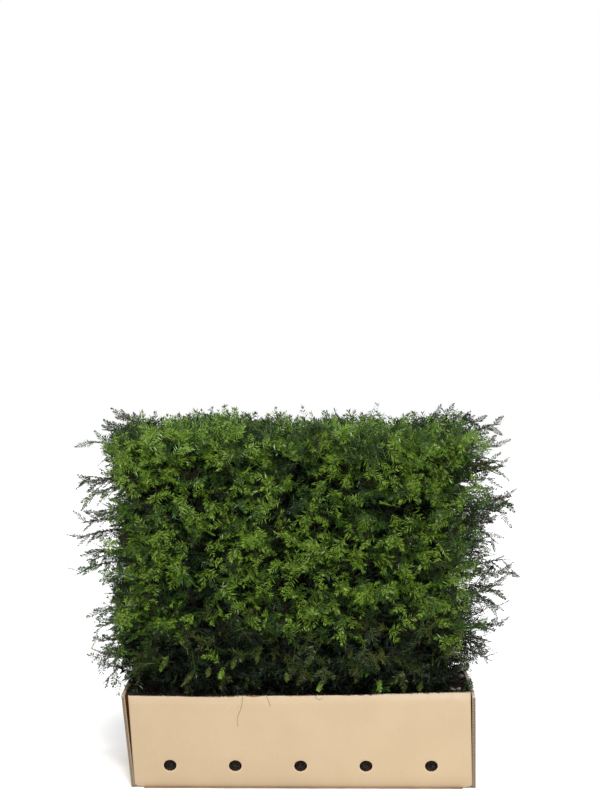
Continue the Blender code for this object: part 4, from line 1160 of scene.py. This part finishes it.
def side_shoots(parents, laterals, rng):
    """Shoots that fork from others in the plane of their spray, left or right, and stay within their
    parent's reach. A number of laterals that isn't whole is rounded up or down by a draw."""
    repeats = np.floor(laterals + rng.random(len(parents["start"]))).astype(int)
    chosen = np.repeat(np.arange(len(repeats)), repeats)
    many = len(chosen)
    shoots = picked(parents, chosen)
    fork = FORK_FROM + FORK_RUN * rng.random(many)
    hand = np.where(rng.random(many) < 0.5, -1.0, 1.0)
    angle = np.radians(FORK_ANGLE + FORK_ANGLE_RUN * rng.random(many))
    along = (shoots["length"] * fork)[:, None]
    forward, aside = shoots["way"], shoots["across"] * hand[:, None]
    shoots["start"] = shoots["start"] + forward * along + shoots["bend"] * along * fork[:, None]
    way = unit(forward * np.cos(angle)[:, None] + aside * np.sin(angle)[:, None])
    room = shoots["length"] * (1 - fork) / np.cos(angle)
    shoots["length"] = np.minimum(between(LATERAL_LENGTH, rng.random(many)), room)
    shoots["way"] = turned_in(shoots["start"], way, shoots["length"])
    up = np.cross(forward, shoots["across"])
    shoots["across"] = unit(np.cross(up, shoots["way"]))
    shoots["needle"] = shoots["needle"] * 0.9
    lighter = (rng.random(many) < 0.15) & (shoots["colour"] < FRESH)
    shoots["colour"] = np.where(lighter, np.maximum(shoots["colour"] - 1, LIME), shoots["colour"])
    return shoots


leaders = picked(leaders, kept)
laterals = side_shoots(leaders, np.where(on_top[kept], LATERALS_PER_TOP_TWIG, LATERALS_PER_TWIG), rng)
twig_lines, tier = twig_lines[kept], tier[kept]

# Shaded foliage: old coarse sprays inside the crown, painted near black as shade, keep it dark within,
# and low sprays hang just above the soil from end to end of the box, mostly in the same painted shade,
# with some olive among them.

INNER_COUNT, INNER_PAIRS = 4200, 7
INNER_LENGTH, INNER_NEEDLE, INNER_NEEDLE_WIDTH = 0.080, 0.033, 0.0108
INNER_LOW = (OPEN_END_LEFT + 0.015, -CROWN_HALF_DEPTH + 0.080, CROWN_BOTTOM - 0.045)
INNER_HIGH = (OPEN_END_RIGHT - 0.015, CROWN_HALF_DEPTH - 0.080, CROWN_TOP - 0.065)
UNDER_COUNT, UNDER_LOW, UNDER_HIGH = 900, (-0.465, -0.135, 0.268), (0.462, 0.140, 0.385)
UNDER_LENGTH, UNDER_NEEDLE, UNDER_NEEDLE_WIDTH, UNDER_FLOOR = 0.055, 0.017, 0.0042, 0.254
# The low sprays are mostly the near-black inner colour: painted shade under the crown.
UNDER_SHADE_COLOURS, UNDER_SHARES = (INNER_PAINTED_SHADE, DEEP, DUSK, OLIVE), (0.62, 0.20, 0.12, 0.06)
BOX_STEPS = np.array([0.819173, 0.671044, 0.549700])


def spread_sprays(many, low, high, wander, lean, upper, back):
    """Start, way and upper side of sprays spread evenly through a box. A way is a random direction times
    its wander plus its lean, and the start lies back along it; the upper side leans to front or back."""
    low, high = np.array(low), np.array(high)
    start = low + (high - low) * (np.arange(many)[:, None] * BOX_STEPS % 1)
    way = unit(rng.standard_normal((many, 3)) * np.array(wander) + np.array(lean))
    start = start - way * back
    return start, way, unit(rng.standard_normal((many, 3)) + np.array(upper) * np.sign(start[:, 1:2]))


inner = shoot_set(
    *spread_sprays(
        INNER_COUNT, INNER_LOW, INNER_HIGH, (1.0, 1.0, 1.0), (0, 0, 0.3), (0, 1.2, 0), INNER_LENGTH / 2
    ),
    0.0, length=INNER_LENGTH, needle=INNER_NEEDLE, width=INNER_NEEDLE_WIDTH, colour=INNER_PAINTED_SHADE, taper=0.0,
    untidy=1.0, open=NEEDLE_OPEN,
)
start, way, facing = spread_sprays(
    UNDER_COUNT, UNDER_LOW, UNDER_HIGH, (0.9, 0.7, 0.5), (0, 0, -0.45), (0, 1.0, 0.5), 0.0
)
room = np.where(way[:, 2] < 0, (start[:, 2] - UNDER_FLOOR) / np.maximum(-way[:, 2], 0.05), 1.0)
tone = rng.choice(UNDER_SHADE_COLOURS, UNDER_COUNT, p=UNDER_SHARES)
under = shoot_set(
    start, way, facing, 0.0, length=np.minimum(UNDER_LENGTH, room), needle=UNDER_NEEDLE,
    width=UNDER_NEEDLE_WIDTH, colour=tone, tier=0, taper=0.2, untidy=1.0, open=NEEDLE_OPEN,
)

# Loose ends: long shoots that were never clipped stick out of both ends, some upswept, some hanging.
# Shorter ones stand between them.

# A row is the height of a tip, its x and its y, and how far it rises from its root.
LOOSE_LEFT = (
    (1.055, -0.551, 0.05, 0.075), (1.028, -0.580, -0.05, 0.060), (1.013, -0.573, 0.10, 0.050),
    (0.986, -0.633, 0.03, 0.050), (0.895, -0.630, -0.10, 0.020), (0.873, -0.650, -0.06, -0.010),
    (0.822, -0.637, -0.10, -0.050), (0.790, -0.617, -0.12, -0.020), (0.738, -0.660, 0.05, -0.015),
    (0.699, -0.662, 0.00, -0.030), (0.675, -0.617, -0.08, 0.010), (0.618, -0.639, 0.06, -0.040),
    (0.600, -0.664, -0.07, -0.045), (0.470, -0.624, 0.08, 0.000), (0.424, -0.617, -0.06, -0.060),
    (0.379, -0.609, 0.05, -0.020), (0.350, -0.610, -0.10, -0.060), (0.310, -0.583, 0.00, -0.070),
    (0.295, -0.575, -0.14, -0.090), (0.940, -0.600, 0.14, 0.030), (0.560, -0.600, 0.15, 0.010),
)
LOOSE_RIGHT = (
    (1.058, 0.474, 0.15, 0.090), (1.043, 0.525, 0.12, 0.080), (1.041, 0.541, 0.10, 0.080),
    (1.036, 0.592, 0.06, 0.085), (0.965, 0.595, 0.10, 0.020), (0.940, 0.580, -0.08, 0.080),
    (0.891, 0.559, -0.10, 0.020), (0.834, 0.538, 0.05, 0.010), (0.822, 0.623, 0.03, 0.060),
    (0.791, 0.634, 0.08, 0.010), (0.782, 0.603, -0.05, -0.020), (0.734, 0.577, 0.10, 0.000),
    (0.686, 0.582, 0.00, -0.070), (0.674, 0.537, -0.08, -0.040), (0.625, 0.621, 0.08, 0.040),
    (0.587, 0.640, 0.07, 0.010), (0.575, 0.591, -0.07, 0.020), (0.497, 0.594, -0.06, -0.060),
    (0.437, 0.602, 0.03, 0.000), (0.389, 0.540, -0.10, -0.050), (0.361, 0.553, -0.12, -0.050),
    (0.900, 0.620, 0.15, 0.030), (0.520, 0.610, 0.14, 0.020),
)
LOOSE_RUN, LOOSE_STEPS = 0.150, 5
LOOSE_NEEDLE, LOOSE_NEEDLE_WIDTH = (0.0110, 0.0160), 0.0036
# How many shorter ones there are at the left and right, and the limits of their height, reach and depth.
MORE_LOOSE, MORE_HEIGHT, MORE_REACH, MORE_DEPTH = (76, 20), (0.31, 0.98), (0.510, 0.580), (-0.185, 0.185)
LOOSE_UNTIDY, LOOSE_OPEN, BRONZE_TIPS = 0.45, 70.0, 0.55
LOOSE_UPPER, LOOSE_FACING, LOOSE_ROLL = np.array([0.0, -0.46, 0.82]), np.array([0.0, -0.80, 0.55]), 0.30
LOOSE_ANGLE, LOOSE_ANGLE_RUN, LOOSE_SIDE, LOOSE_SIDE_RUN = 25, 30, 0.026, 0.034
# Where the side shoots of a loose twig set out, as a step of its line and a share of that step; the
# first two are on every loose twig, and the others only on the long ones.
SIDE_PLACES = ((2, 0.1), (3, 0.0), (1, 0.2), (1, 0.8), (2, 0.6), (3, 0.5))


def more_loose(rng):
    """Shorter loose twigs at random heights and depths of both ends, most of them a little upswept."""
    many = sum(MORE_LOOSE)
    height, depth = rng.uniform(*MORE_HEIGHT, many), rng.uniform(*MORE_DEPTH, many)
    reach = rng.uniform(*MORE_REACH, many) * np.repeat([-1, 1], MORE_LOOSE)
    return np.stack([height, reach, depth, 0.030 * rng.standard_normal(many)], 1)


def loose_shoots(start, way, up, length, needle, taper, colour, rng):
    """A set of combed shoots of the loose twigs, from their places, ways and upper sides."""
    rise = -0.12 + 0.24 * rng.random(len(start))
    return shoot_set(
        start, turned_in(start, way, length), up, rise, length=length, needle=needle,
        width=LOOSE_NEEDLE_WIDTH, colour=colour, taper=taper, untidy=LOOSE_UNTIDY, open=LOOSE_OPEN,
    )


def loose_branches(rng):
    """Curved twigs to the loose tips, each with a leader along it and side shoots towards the tip."""
    rows = np.concatenate([LOOSE_LEFT, LOOSE_RIGHT, more_loose(rng)])
    long_count, many = len(LOOSE_LEFT) + len(LOOSE_RIGHT), len(rows)
    tip = rows[:, [1, 2, 0]]
    outward = np.sign(tip[:, 0])
    root = tip - np.stack([outward * LOOSE_RUN, -0.10 * tip[:, 1], rows[:, 3]], 1)
    control = (root + tip) / 2 + np.stack([0 * outward, 0 * outward, np.abs(rows[:, 3]) * 0.5], 1)
    lines = curves(root, control, tip, LOOSE_STEPS)
    draw = rng.random(many)
    tone = np.select([draw < 0.28, draw < 0.52, draw < 0.92], [DUSK, DEEP, MID], OLIVE)
    segments = []
    for number, (step, share) in enumerate(SIDE_PLACES):
        here = slice(0, many if number < 2 else long_count)
        begin = (lines[:, step] * (1 - share) + lines[:, min(step + 1, LOOSE_STEPS - 1)] * share)[here]
        forward = unit(lines[here, -1] - begin + 1e-4 * unit(lines[here, -1] - lines[here, -2]))
        facing = LOOSE_FACING + LOOSE_ROLL * rng.standard_normal(begin.shape)
        across = unit(np.cross(facing, forward))
        up = unit(rng.standard_normal(begin.shape) * LOOSE_ROLL + LOOSE_UPPER)
        hand = np.where(rng.random(len(begin)) < 0.5, -1.0, 1.0)[:, None]
        angle = np.radians(LOOSE_ANGLE + LOOSE_ANGLE_RUN * rng.random(len(begin)))[:, None]
        way = unit(forward * np.cos(angle) + across * hand * np.sin(angle))
        length = LOOSE_SIDE + LOOSE_SIDE_RUN * rng.random(len(begin))
        needle = between(LOOSE_NEEDLE, rng.random(len(begin)))
        segments.append(loose_shoots(begin, way, up, length, needle, 0.45, tone[here], rng))
    up = unit(rng.standard_normal(tip.shape) * LOOSE_ROLL + LOOSE_UPPER)
    for step in range(1, LOOSE_STEPS - 1):
        run = lines[:, step + 1] - lines[:, step]
        last = step == LOOSE_STEPS - 2
        bare = last & (rng.random(many) < BRONZE_TIPS)
        needle = between(LOOSE_NEEDLE, rng.random(many)) * np.where(bare, 0.55, 1.0)
        colour = np.where(bare, BRONZE, tone)
        length = np.linalg.norm(run, axis=1)
        straight = loose_shoots(
            lines[:, step], unit(run), up, length, needle, 0.40 if last else 0.0, colour, rng
        )
        straight["bend"][:] = 0.0
        segments.append(straight)
    return lines, together(*segments)


loose_lines, loose = loose_branches(rng)

# Hanging tufts: pale young shoots below the crown's front edge, over the dark inside. The same number
# hang at random places along the back.

# The x and height of each one's root, and of its tip.
HANGING = (
    (-0.441, 0.418, -0.481, 0.348), (-0.383, 0.383, -0.404, 0.339), (-0.303, 0.341, -0.343, 0.298),
    (-0.265, 0.350, -0.270, 0.322), (-0.222, 0.351, -0.235, 0.314), (-0.187, 0.378, -0.196, 0.346),
    (-0.043, 0.334, -0.041, 0.309), (0.050, 0.400, 0.012, 0.356), (0.172, 0.378, 0.178, 0.323),
    (0.230, 0.409, 0.243, 0.363), (0.150, 0.403, 0.142, 0.376), (0.064, 0.312, 0.052, 0.280),
    (0.226, 0.312, 0.230, 0.278), (0.350, 0.309, 0.346, 0.283), (-0.120, 0.400, -0.128, 0.360),
)
HANGING_Y, HANGING_NEEDLE, HANGING_PAIRS = (-0.146, -0.160), (0.0090, 0.0130), 10
HANGING_NEEDLE_WIDTH, HANGING_UNTIDY, HANGING_OPEN = 0.0026, 0.5, 50.0


def hanging_tufts(rng):
    """Each tuft is a combed shoot from root to tip, with a shorter one beside it."""
    front = np.array(HANGING)
    back = front.copy()
    back[:, [0, 2]] = front[:, [0, 2]] + rng.uniform(-0.05, 0.05, (len(front), 1))
    rows = np.concatenate([front, back])
    behind = np.repeat([1.0, -1.0], len(front))
    root = np.stack([rows[:, 0], HANGING_Y[0] * behind, rows[:, 1]], 1)
    tip = np.stack([rows[:, 2], HANGING_Y[1] * behind, rows[:, 3]], 1)
    many = len(rows)
    up = unit(np.stack([0.3 * rng.standard_normal(many), -behind, 0.35 * np.ones(many)], 1))
    run = tip - root
    colour = np.where(rng.random(many) < 0.72, STRAW, LIME)
    shoots = []
    for shift, part in ((0.0, 1.0), (0.35, 0.6)):
        way = unit(run + shift * np.linalg.norm(run, axis=1)[:, None] * rng.standard_normal((many, 3)) * 0.6)
        needle = between(HANGING_NEEDLE, rng.random(many))
        length = np.linalg.norm(run, axis=1) * part
        shoots.append(loose_shoots(root + run * shift, way, up, length, needle, 0.35, colour, rng))
    shoots = together(*shoots)
    shoots["untidy"][:], shoots["open"][:] = HANGING_UNTIDY, HANGING_OPEN
    shoots["width"][:], shoots["tier"][:] = HANGING_NEEDLE_WIDTH, 0
    return shoots


hanging = hanging_tufts(rng)

# Surfaces: waxy needles in nine colours, thin brown twigs and green shoots. Each wanders between a dark
# and a pale shade by noise.

TWIG_DARK, TWIG_PALE = (0.009, 0.007, 0.005), (0.026, 0.018, 0.012)
SHOOT_DARK, SHOOT_PALE = (0.045, 0.080, 0.008), (0.105, 0.150, 0.020)


def waxy(name, dark, light, gloss):
    """A waxy needle: its green wanders between two near shades from spray to spray, with a soft gloss."""
    stops = ((0.40, dark), (0.61, light))
    return speckled("yew_needles_" + name, 0.29, gloss, (32.0, 5.0, 0.72), stops, 0.12, 0.0004, (900.0, 1.0))


needle_surfaces = {name: waxy(name, *shades) for name, shades in COLOURS.items()}
twig_stops, shoot_stops = ((0.35, TWIG_DARK), (0.65, TWIG_PALE)), ((0.35, SHOOT_DARK), (0.65, SHOOT_PALE))
young_bark = speckled("young_bark", 0.75, 0.10, (300.0, 3.0), twig_stops, 0.4, 0.0005, (800.0, 2.0))
green_shoot = speckled("green_shoot", 0.55, 0.20, (60.0, 2.0), shoot_stops, 0.2, 0.0004, (700.0, 1.0))

# Sprays that don't grow from a twig of the rule are tied to the nearest wood. Then all is joined by tier
# and by colour: needles, green shoots and brown twigs.

# Radii at the foot and tip of the green shoots, of the old ones painted dark as shade and of the loose ones.
GREEN_RADII, OLD_RADII, LOOSE_RADII = (0.0008, 0.0005), (0.0006, 0.0004), (0.0011, 0.0007)


def tied(starts, *sets):
    """A straight twig to each place from the nearest point of the wood: of all lines' points and the
    middles between them, the one whose square less twice its product with the place is least."""
    wood = [lines.reshape(-1, 3) for lines in sets]
    wood += [((lines[:, 1:] + lines[:, :-1]) / 2).reshape(-1, 3) for lines in sets]
    wood = np.concatenate(wood)
    nearest = [(wood**2).sum(1) - 2 * block @ wood.T for block in np.array_split(starts, 20)]
    roots = np.concatenate([wood[scores.argmin(1)] for scores in nearest])
    return np.stack([roots, starts], 1)


held = together(inner, under, hanging)
ties = tied(held["start"], twig_lines, branch_lines, first_lines, mass_lines)
# Lines of wood, their radius where they start and where they end, and the tier of each.
twig_sets = (
    (mass_lines, 0.0042, 0.0026, mass_tier),
    (first_lines, 0.0024, 0.0017, mass_tier[seat_mass]),
    (branch_lines, 0.0015, 0.0009, mass_tier[seat_mass]),
    (twig_lines, 0.0010, 0.0006, tier),
    (ties, 0.0009, 0.0005, held["tier"]),
    (loose_lines, 0.0021, 0.0011, np.digitize(loose_lines[:, 0, 2], TIER_EDGES)),
)
needle_rng = np.random.default_rng([SEED, 4])
dressings = [
    (shoots, dressed(shoots, pairs, needle_rng))
    for shoots, pairs in (
        (leaders, LEADER_PAIRS), (laterals, LATERAL_PAIRS), (inner, INNER_PAIRS),
        (under, LATERAL_PAIRS), (loose, LOOSE_PAIRS), (hanging, HANGING_PAIRS),
    )
]
for tier_number, tier_name in enumerate(TIER_NAMES):
    nodes = ["mass_" + mass["name"] for mass in masses if mass["tier"] == tier_number]
    for colour_number, colour_name in enumerate(COLOURS):
        parts = []
        for shoots, blades in dressings:
            chosen = (shoots["tier"] == tier_number) & (shoots["colour"] == colour_number)
            parts.append(blade_faces(blades[chosen]))
        points, faces = joined(*parts)
        if len(faces):
            name, surface = f"needles_{tier_name}_{colour_name}", needle_surfaces[colour_name]
            made_piece(name, points, faces, surface, "needles_" + tier_name, nodes, smooth=False)
    young_lines, old_lines, loose_stems = (
        shoot_lines(together(*(picked(shoots, shoots["tier"] == tier_number) for shoots in kinds)))
        for kinds in ((leaders, laterals, hanging), (inner, under), (loose,))
    )
    shape = tubes(young_lines, *GREEN_RADII)
    made_piece("green_shoots_" + tier_name, *shape, green_shoot, "needles_" + tier_name, nodes)
    wood = [
        tubes(lines[of_tier == tier_number], thick, thin) for lines, thick, thin, of_tier in twig_sets
    ]
    wood += [tubes(old_lines, *OLD_RADII), tubes(loose_stems, *LOOSE_RADII)]
    made_piece("twigs_" + tier_name, *joined(*wood), young_bark, "needles_" + tier_name, nodes)

# Litter: crumbs of soil and torn paper on the rims, dry needles and twig ends on the soil, and at the
# right end a torn scrap of board, a fallen leaf and a pebble.

RIM_CRUMBS, RIM_FIBRES, SOIL_GRAINS, DRY_NEEDLES, TWIG_ENDS = 90, 150, 700, 500, 26
CRUMB_RADIUS, FIBRE_RADIUS, GRAIN_RADIUS = (0.0010, 0.0032), (0.0008, 0.0026), (0.0012, 0.0040)
CRUMB_FLAT, FIBRE_FLAT, GRAIN_FLAT = 0.6, 0.3, 0.9
DRY_LENGTH, DRY_WIDTH, TWIG_END_LENGTH, TWIG_END_RADII = 0.019, 0.0028, 0.042, (0.0012, 0.0007)
DRY_DARK, DRY_PALE, DRY_GLOSS = (0.030, 0.022, 0.010), (0.095, 0.070, 0.030), 0.15
litter_rng = np.random.default_rng([SEED, 5])


def grains(centres, radii, height, rng):
    """Rough grains: each is a double pyramid of eight faces whose six corners are pulled in or out; its
    height is a share of its breadth."""
    corners = np.array([[1, 0, 0], [0, 1, 0], [-1, 0, 0], [0, -1, 0], [0, 0, height], [0, 0, -height]])
    pull = rng.uniform(0.60, 1.25, (len(centres), 6, 1))
    points = centres[:, None] + radii[:, None, None] * pull * corners
    upper = np.array([[0, 1, 4], [1, 2, 4], [2, 3, 4], [3, 0, 4]])
    lower = np.array([[1, 0, 5], [2, 1, 5], [3, 2, 5], [0, 3, 5]])
    starts = np.arange(len(centres))[:, None, None] * 6
    return points.reshape(-1, 3), (np.concatenate([upper, lower])[None] + starts).reshape(-1, 3)


def on_rims(many, radius, rng):
    """Random places along the front and back walls' top edges, lying on them."""
    x = rng.uniform(EDGE_LEFT[1] + 0.004, EDGE_RIGHT[1] - 0.004, many)
    side = np.where(rng.random(many) < 0.6, -1.0, 1.0)
    out = WALL_Y - TRAY_BOARD * rng.random(many) + 0.8 * bulge(x, RIM_Z, FRONT)
    return rim_risen(np.stack([x, side * out, RIM_Z - 0.0003 + 0.35 * radius], 1))


def on_soil(many, rng):
    """Random places on top of the soil."""
    x = rng.uniform(soil_across(0, SOIL_LEVEL) + 0.012, soil_across(1, SOIL_LEVEL) - 0.012, many)
    y = rng.uniform(-SOIL_HALF_Y + 0.006, SOIL_HALF_Y - 0.006, many)
    return np.stack([x, y, soil_height(x, y)], 1)


crumb_size = litter_rng.uniform(*CRUMB_RADIUS, RIM_CRUMBS)
grain_size = litter_rng.uniform(*GRAIN_RADIUS, SOIL_GRAINS)
crumbs = joined(
    grains(on_rims(RIM_CRUMBS, crumb_size, litter_rng), crumb_size, CRUMB_FLAT, litter_rng),
    grains(on_soil(SOIL_GRAINS, litter_rng), grain_size, GRAIN_FLAT, litter_rng),
)
made_piece("soil_crumbs", *crumbs, soil_surface, "soil", ["soil"], smooth=False)
fibre_size = litter_rng.uniform(*FIBRE_RADIUS, RIM_FIBRES)
fibres = grains(on_rims(RIM_FIBRES, fibre_size, litter_rng), fibre_size, FIBRE_FLAT, litter_rng)
made_piece("rim_fibres", *fibres, edge_paper, "kraft_board", ["tray"], smooth=False)


def lying(places, length, rng):
    """Ways and lengths of short straight lines from the places, level with a little random tilt."""
    turn = rng.uniform(0, 2 * math.pi, len(places))
    way = np.stack([np.cos(turn), np.sin(turn), 0.12 * rng.standard_normal(len(places))], 1)
    return unit(way), length * rng.uniform(0.6, 1.2, len(places))


dry_at = on_soil(DRY_NEEDLES, litter_rng) + np.array([0, 0, 0.0012])
dry_way, dry_length = lying(dry_at, DRY_LENGTH, litter_rng)
dry_at[:, :2] -= (dry_way * dry_length[:, None] / 2)[:, :2]
dry_across = unit(np.cross(dry_way, np.array([0.0, 0.0, 1.0])))
dry = needle_blades(dry_at, dry_way, dry_across, dry_length, np.full(DRY_NEEDLES, DRY_WIDTH))
dry_surface = waxy("dry", DRY_DARK, DRY_PALE, DRY_GLOSS)
made_piece("dry_needles", *blade_faces(dry), dry_surface, "soil", ["soil"], smooth=False)
end_at = on_soil(TWIG_ENDS, litter_rng) + np.array([0, 0, 0.0020])
end_way, end_length = lying(end_at, TWIG_END_LENGTH, litter_rng)
end_at[:, 1] *= 0.66
end_run = end_way * end_length[:, None]
end_lines = curves(end_at, end_at + end_run * 0.5 + np.array([0, 0, 0.004]), end_at + end_run, 4)
made_piece("fallen_twigs", *tubes(end_lines, *TWIG_END_RADII), young_bark, "bark", ["soil"])

# Dry stalks: three thin ones from the soil hang over the front rim and down the wall.

# The x and height of each one's points below the rim.
STALKS = (
    ((-0.1680, 0.258), (-0.1725, 0.232), (-0.1806, 0.213), (-0.1838, 0.196), (-0.1800, 0.180)),
    ((-0.0970, 0.264), (-0.0940, 0.259), (-0.0900, 0.248), (-0.0880, 0.243), (-0.0885, 0.237)),
    ((0.0430, 0.265), (0.0476, 0.261), (0.0540, 0.259), (0.0603, 0.261), (0.0650, 0.265)),
)
STALK_THICK, STALK_THIN, STALK_STEPS = 0.0005, 0.0004, 40


def over_the_rim(places):
    """A stalk's line: up from the soil inside, across the rim, and down the face of the bulged wall."""
    x, z = np.array(places).T
    face = np.stack([x, -WALL_Y - bulge(x, z, FRONT) - STALK_THIN, z], 1)
    inside = np.array([
        (x[0], -WALL_Y + TRAY_BOARD + 0.0050, SOIL_LEVEL + 0.004),
        (x[0], -WALL_Y + TRAY_BOARD + 0.0008, RIM_Z + 0.0008),
        (x[0], -WALL_Y - 0.0010, RIM_Z + 0.0008),
    ])
    line = np.concatenate([inside, face])
    return rim_risen(resampled(line, np.ones(len(line)), STALK_STEPS)[0])


stalk_lines = np.stack([over_the_rim(places) for places in STALKS])
stalk_shape = tubes(stalk_lines, STALK_THICK, STALK_THIN)
made_piece("dry_stalks", *stalk_shape, young_bark, "bark", ["soil"])


def torn_scrap(centre, size, tilt, seed):
    """A crumpled scrap of board: a grid of its own width and height with ragged sides, lifted by value
    noise, leaned back by a tilt and moved to its place."""
    u, v = np.meshgrid(np.linspace(-1, 1, 13), np.linspace(-1, 1, 9))
    ragged = 1 + 0.16 * value_noise(u * 0.05, v * 0.05, 0.021, seed)
    x, w = u * size[0] / 2 * ragged, v * size[1] / 2 * ragged
    lift = 0.0040 * value_noise(x, w, 0.011, seed + 1)
    y, z = w * math.cos(tilt) - lift * math.sin(tilt), w * math.sin(tilt) + lift * math.cos(tilt)
    return grid_points(x, y, z) + np.array(centre), grid_quads(*u.shape)


# Middle, breadth and height, tilt and seed of each scrap.
SCRAPS = (
    ((0.487, 0.1665, 0.2785), (0.044, 0.020), 0.70, 21),
    ((0.455, -0.050, 0.2600), (0.030, 0.014), 0.35, 25),
)
scraps = joined(*(torn_scrap(*scrap) for scrap in SCRAPS))
thickened(made_piece("torn_scraps", *scraps, edge_paper, "kraft_board", ["tray"]), 0.0018)


def broad_leaf(base, heading, length, width, droop):
    """One broad leaf: half its width is a sine of the way along, its sides lift and its tip droops."""
    u, v = np.meshgrid(np.linspace(0, 1, 12), np.linspace(-1, 1, 7), indexing="ij")
    half = width / 2 * np.sin(math.pi * np.clip(u, 0.02, 0.98) ** 0.8) ** 0.8
    along, aside = u * length, v * half
    height = 0.10 * width * v**2 - droop * u**2 + 0.0006 * np.cos(9 * math.pi * u) * np.abs(v)
    x = base[0] + along * math.cos(heading) - aside * math.sin(heading)
    y = base[1] + along * math.sin(heading) + aside * math.cos(heading)
    return grid_points(x, y, base[2] + height), grid_quads(*u.shape)


LEAF_AT, LEAF_HEADING = (0.492, 0.140, 0.2735), 0.55
LEAF_LENGTH, LEAF_WIDTH, LEAF_DROOP = 0.030, 0.021, 0.009
LEAF_DARK, LEAF_PALE, LEAF_GLOSS = (0.030, 0.070, 0.010), (0.060, 0.125, 0.020), 0.35
leaf_green = waxy("leaf", LEAF_DARK, LEAF_PALE, LEAF_GLOSS)
leaf = broad_leaf(LEAF_AT, LEAF_HEADING, LEAF_LENGTH, LEAF_WIDTH, LEAF_DROOP)
leaf = made_piece("fallen_leaf", *leaf, leaf_green, "needles_low", ["soil"])
thickened(leaf, 0.0004)


def pebble_shape(centre, size, seed):
    """A ball of rings whose radius value noise makes uneven, flattened to its three sizes."""
    rise = np.linspace(-0.999, 0.999, 12)[:, None] * math.pi / 2
    turn = np.linspace(0, 2 * math.pi, 17)[:-1]
    x, y, z = np.cos(rise) * np.cos(turn), np.cos(rise) * np.sin(turn), np.sin(rise)
    swell = 1 + 0.12 * value_noise(x + 0.4 * z, y - 0.3 * z, 0.8, seed)
    points = grid_points(x * swell, y * swell, z * swell) * np.array(size) + np.array(centre)
    return points, grid_quads(*x.shape, closed=True)


PEBBLE_X, PEBBLE_Y, PEBBLE_RISE = 0.4815, 0.080, 0.0065
PEBBLE_SIZE, PEBBLE_SEED = (0.0105, 0.0095, 0.0085), 31
PEBBLE_DARK, PEBBLE_PALE = (0.060, 0.042, 0.048), (0.190, 0.145, 0.160)
pebble_stops = ((0.35, PEBBLE_DARK), (0.62, PEBBLE_PALE))
pebble_stone = speckled("pebble_stone", 0.42, 0.5, (500.0, 4.0, 0.6), pebble_stops, 0.3, 0.0004)
pebble_at = (PEBBLE_X, PEBBLE_Y, soil_height(PEBBLE_X, PEBBLE_Y) + PEBBLE_RISE)
pebble = pebble_shape(pebble_at, PEBBLE_SIZE, PEBBLE_SEED)
seams_closed(made_piece("pebble", *pebble, pebble_stone, "soil", ["soil"]))

# Studio: a wide pale floor, an even white surround and one large soft light from above the front. The
# camera stands where the photograph was taken from.

FLOOR_HALF, FLOOR_PALE = 9.0, (0.88, 0.88, 0.88)
KEY_STRENGTH, KEY_ANGLE, KEY_TILT, KEY_TURN = 2.4, 12.0, 36.0, 5.0
EYE_AZIMUTH, EYE_DISTANCE, EYE_HEIGHT = 0.58, 5.42, 1.52
EYE_PITCH, EYE_YAW, LENS = 4.31, 0.04, 83.03

floor_points = np.array([[-1, -1, 0], [1, -1, 0], [1, 1, 0], [-1, 1, 0]]) * FLOOR_HALF
floor_mesh = bpy.data.meshes.new("floor")
floor_mesh.from_pydata(floor_points, [], [(0, 1, 2, 3)])
floor_paint = shader_nodes("pale_floor", 0.9, FLOOR_PALE, gloss=0.0)[0]
floor_mesh.materials.append(floor_paint)
floor = bpy.data.objects.new("floor", floor_mesh)
bpy.context.scene.collection.objects.link(floor)
floor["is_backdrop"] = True

world = bpy.data.worlds.new("white_surround")
world.use_nodes = True
world.node_tree.nodes["Background"].inputs["Color"].default_value = (1.0, 1.0, 1.0, 1.0)
world.node_tree.nodes["Background"].inputs["Strength"].default_value = 1.0
bpy.context.scene.world = world

key = bpy.data.lights.new("soft_key", "SUN")
key.energy = KEY_STRENGTH
key.angle = math.radians(KEY_ANGLE)
lamp = bpy.data.objects.new("soft_key", key)
lamp.rotation_euler = (math.radians(KEY_TILT), 0, math.radians(KEY_TURN))
bpy.context.scene.collection.objects.link(lamp)

azimuth = math.radians(EYE_AZIMUTH)
heading = azimuth + math.radians(EYE_YAW)
camera = bpy.data.objects.new("camera", bpy.data.cameras.new("camera"))
camera.location = (math.sin(azimuth) * EYE_DISTANCE, -math.cos(azimuth) * EYE_DISTANCE, EYE_HEIGHT)
camera.rotation_euler = (math.radians(90 - EYE_PITCH), 0, heading)
camera.data.lens = LENS
bpy.context.scene.collection.objects.link(camera)
bpy.context.scene.camera = camera
bpy.context.scene.view_settings.view_transform = "Standard"

boxes = {"cad": cad_box, "visual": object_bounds()}
{key: [list(corner) for corner in box] for key, box in boxes.items()}
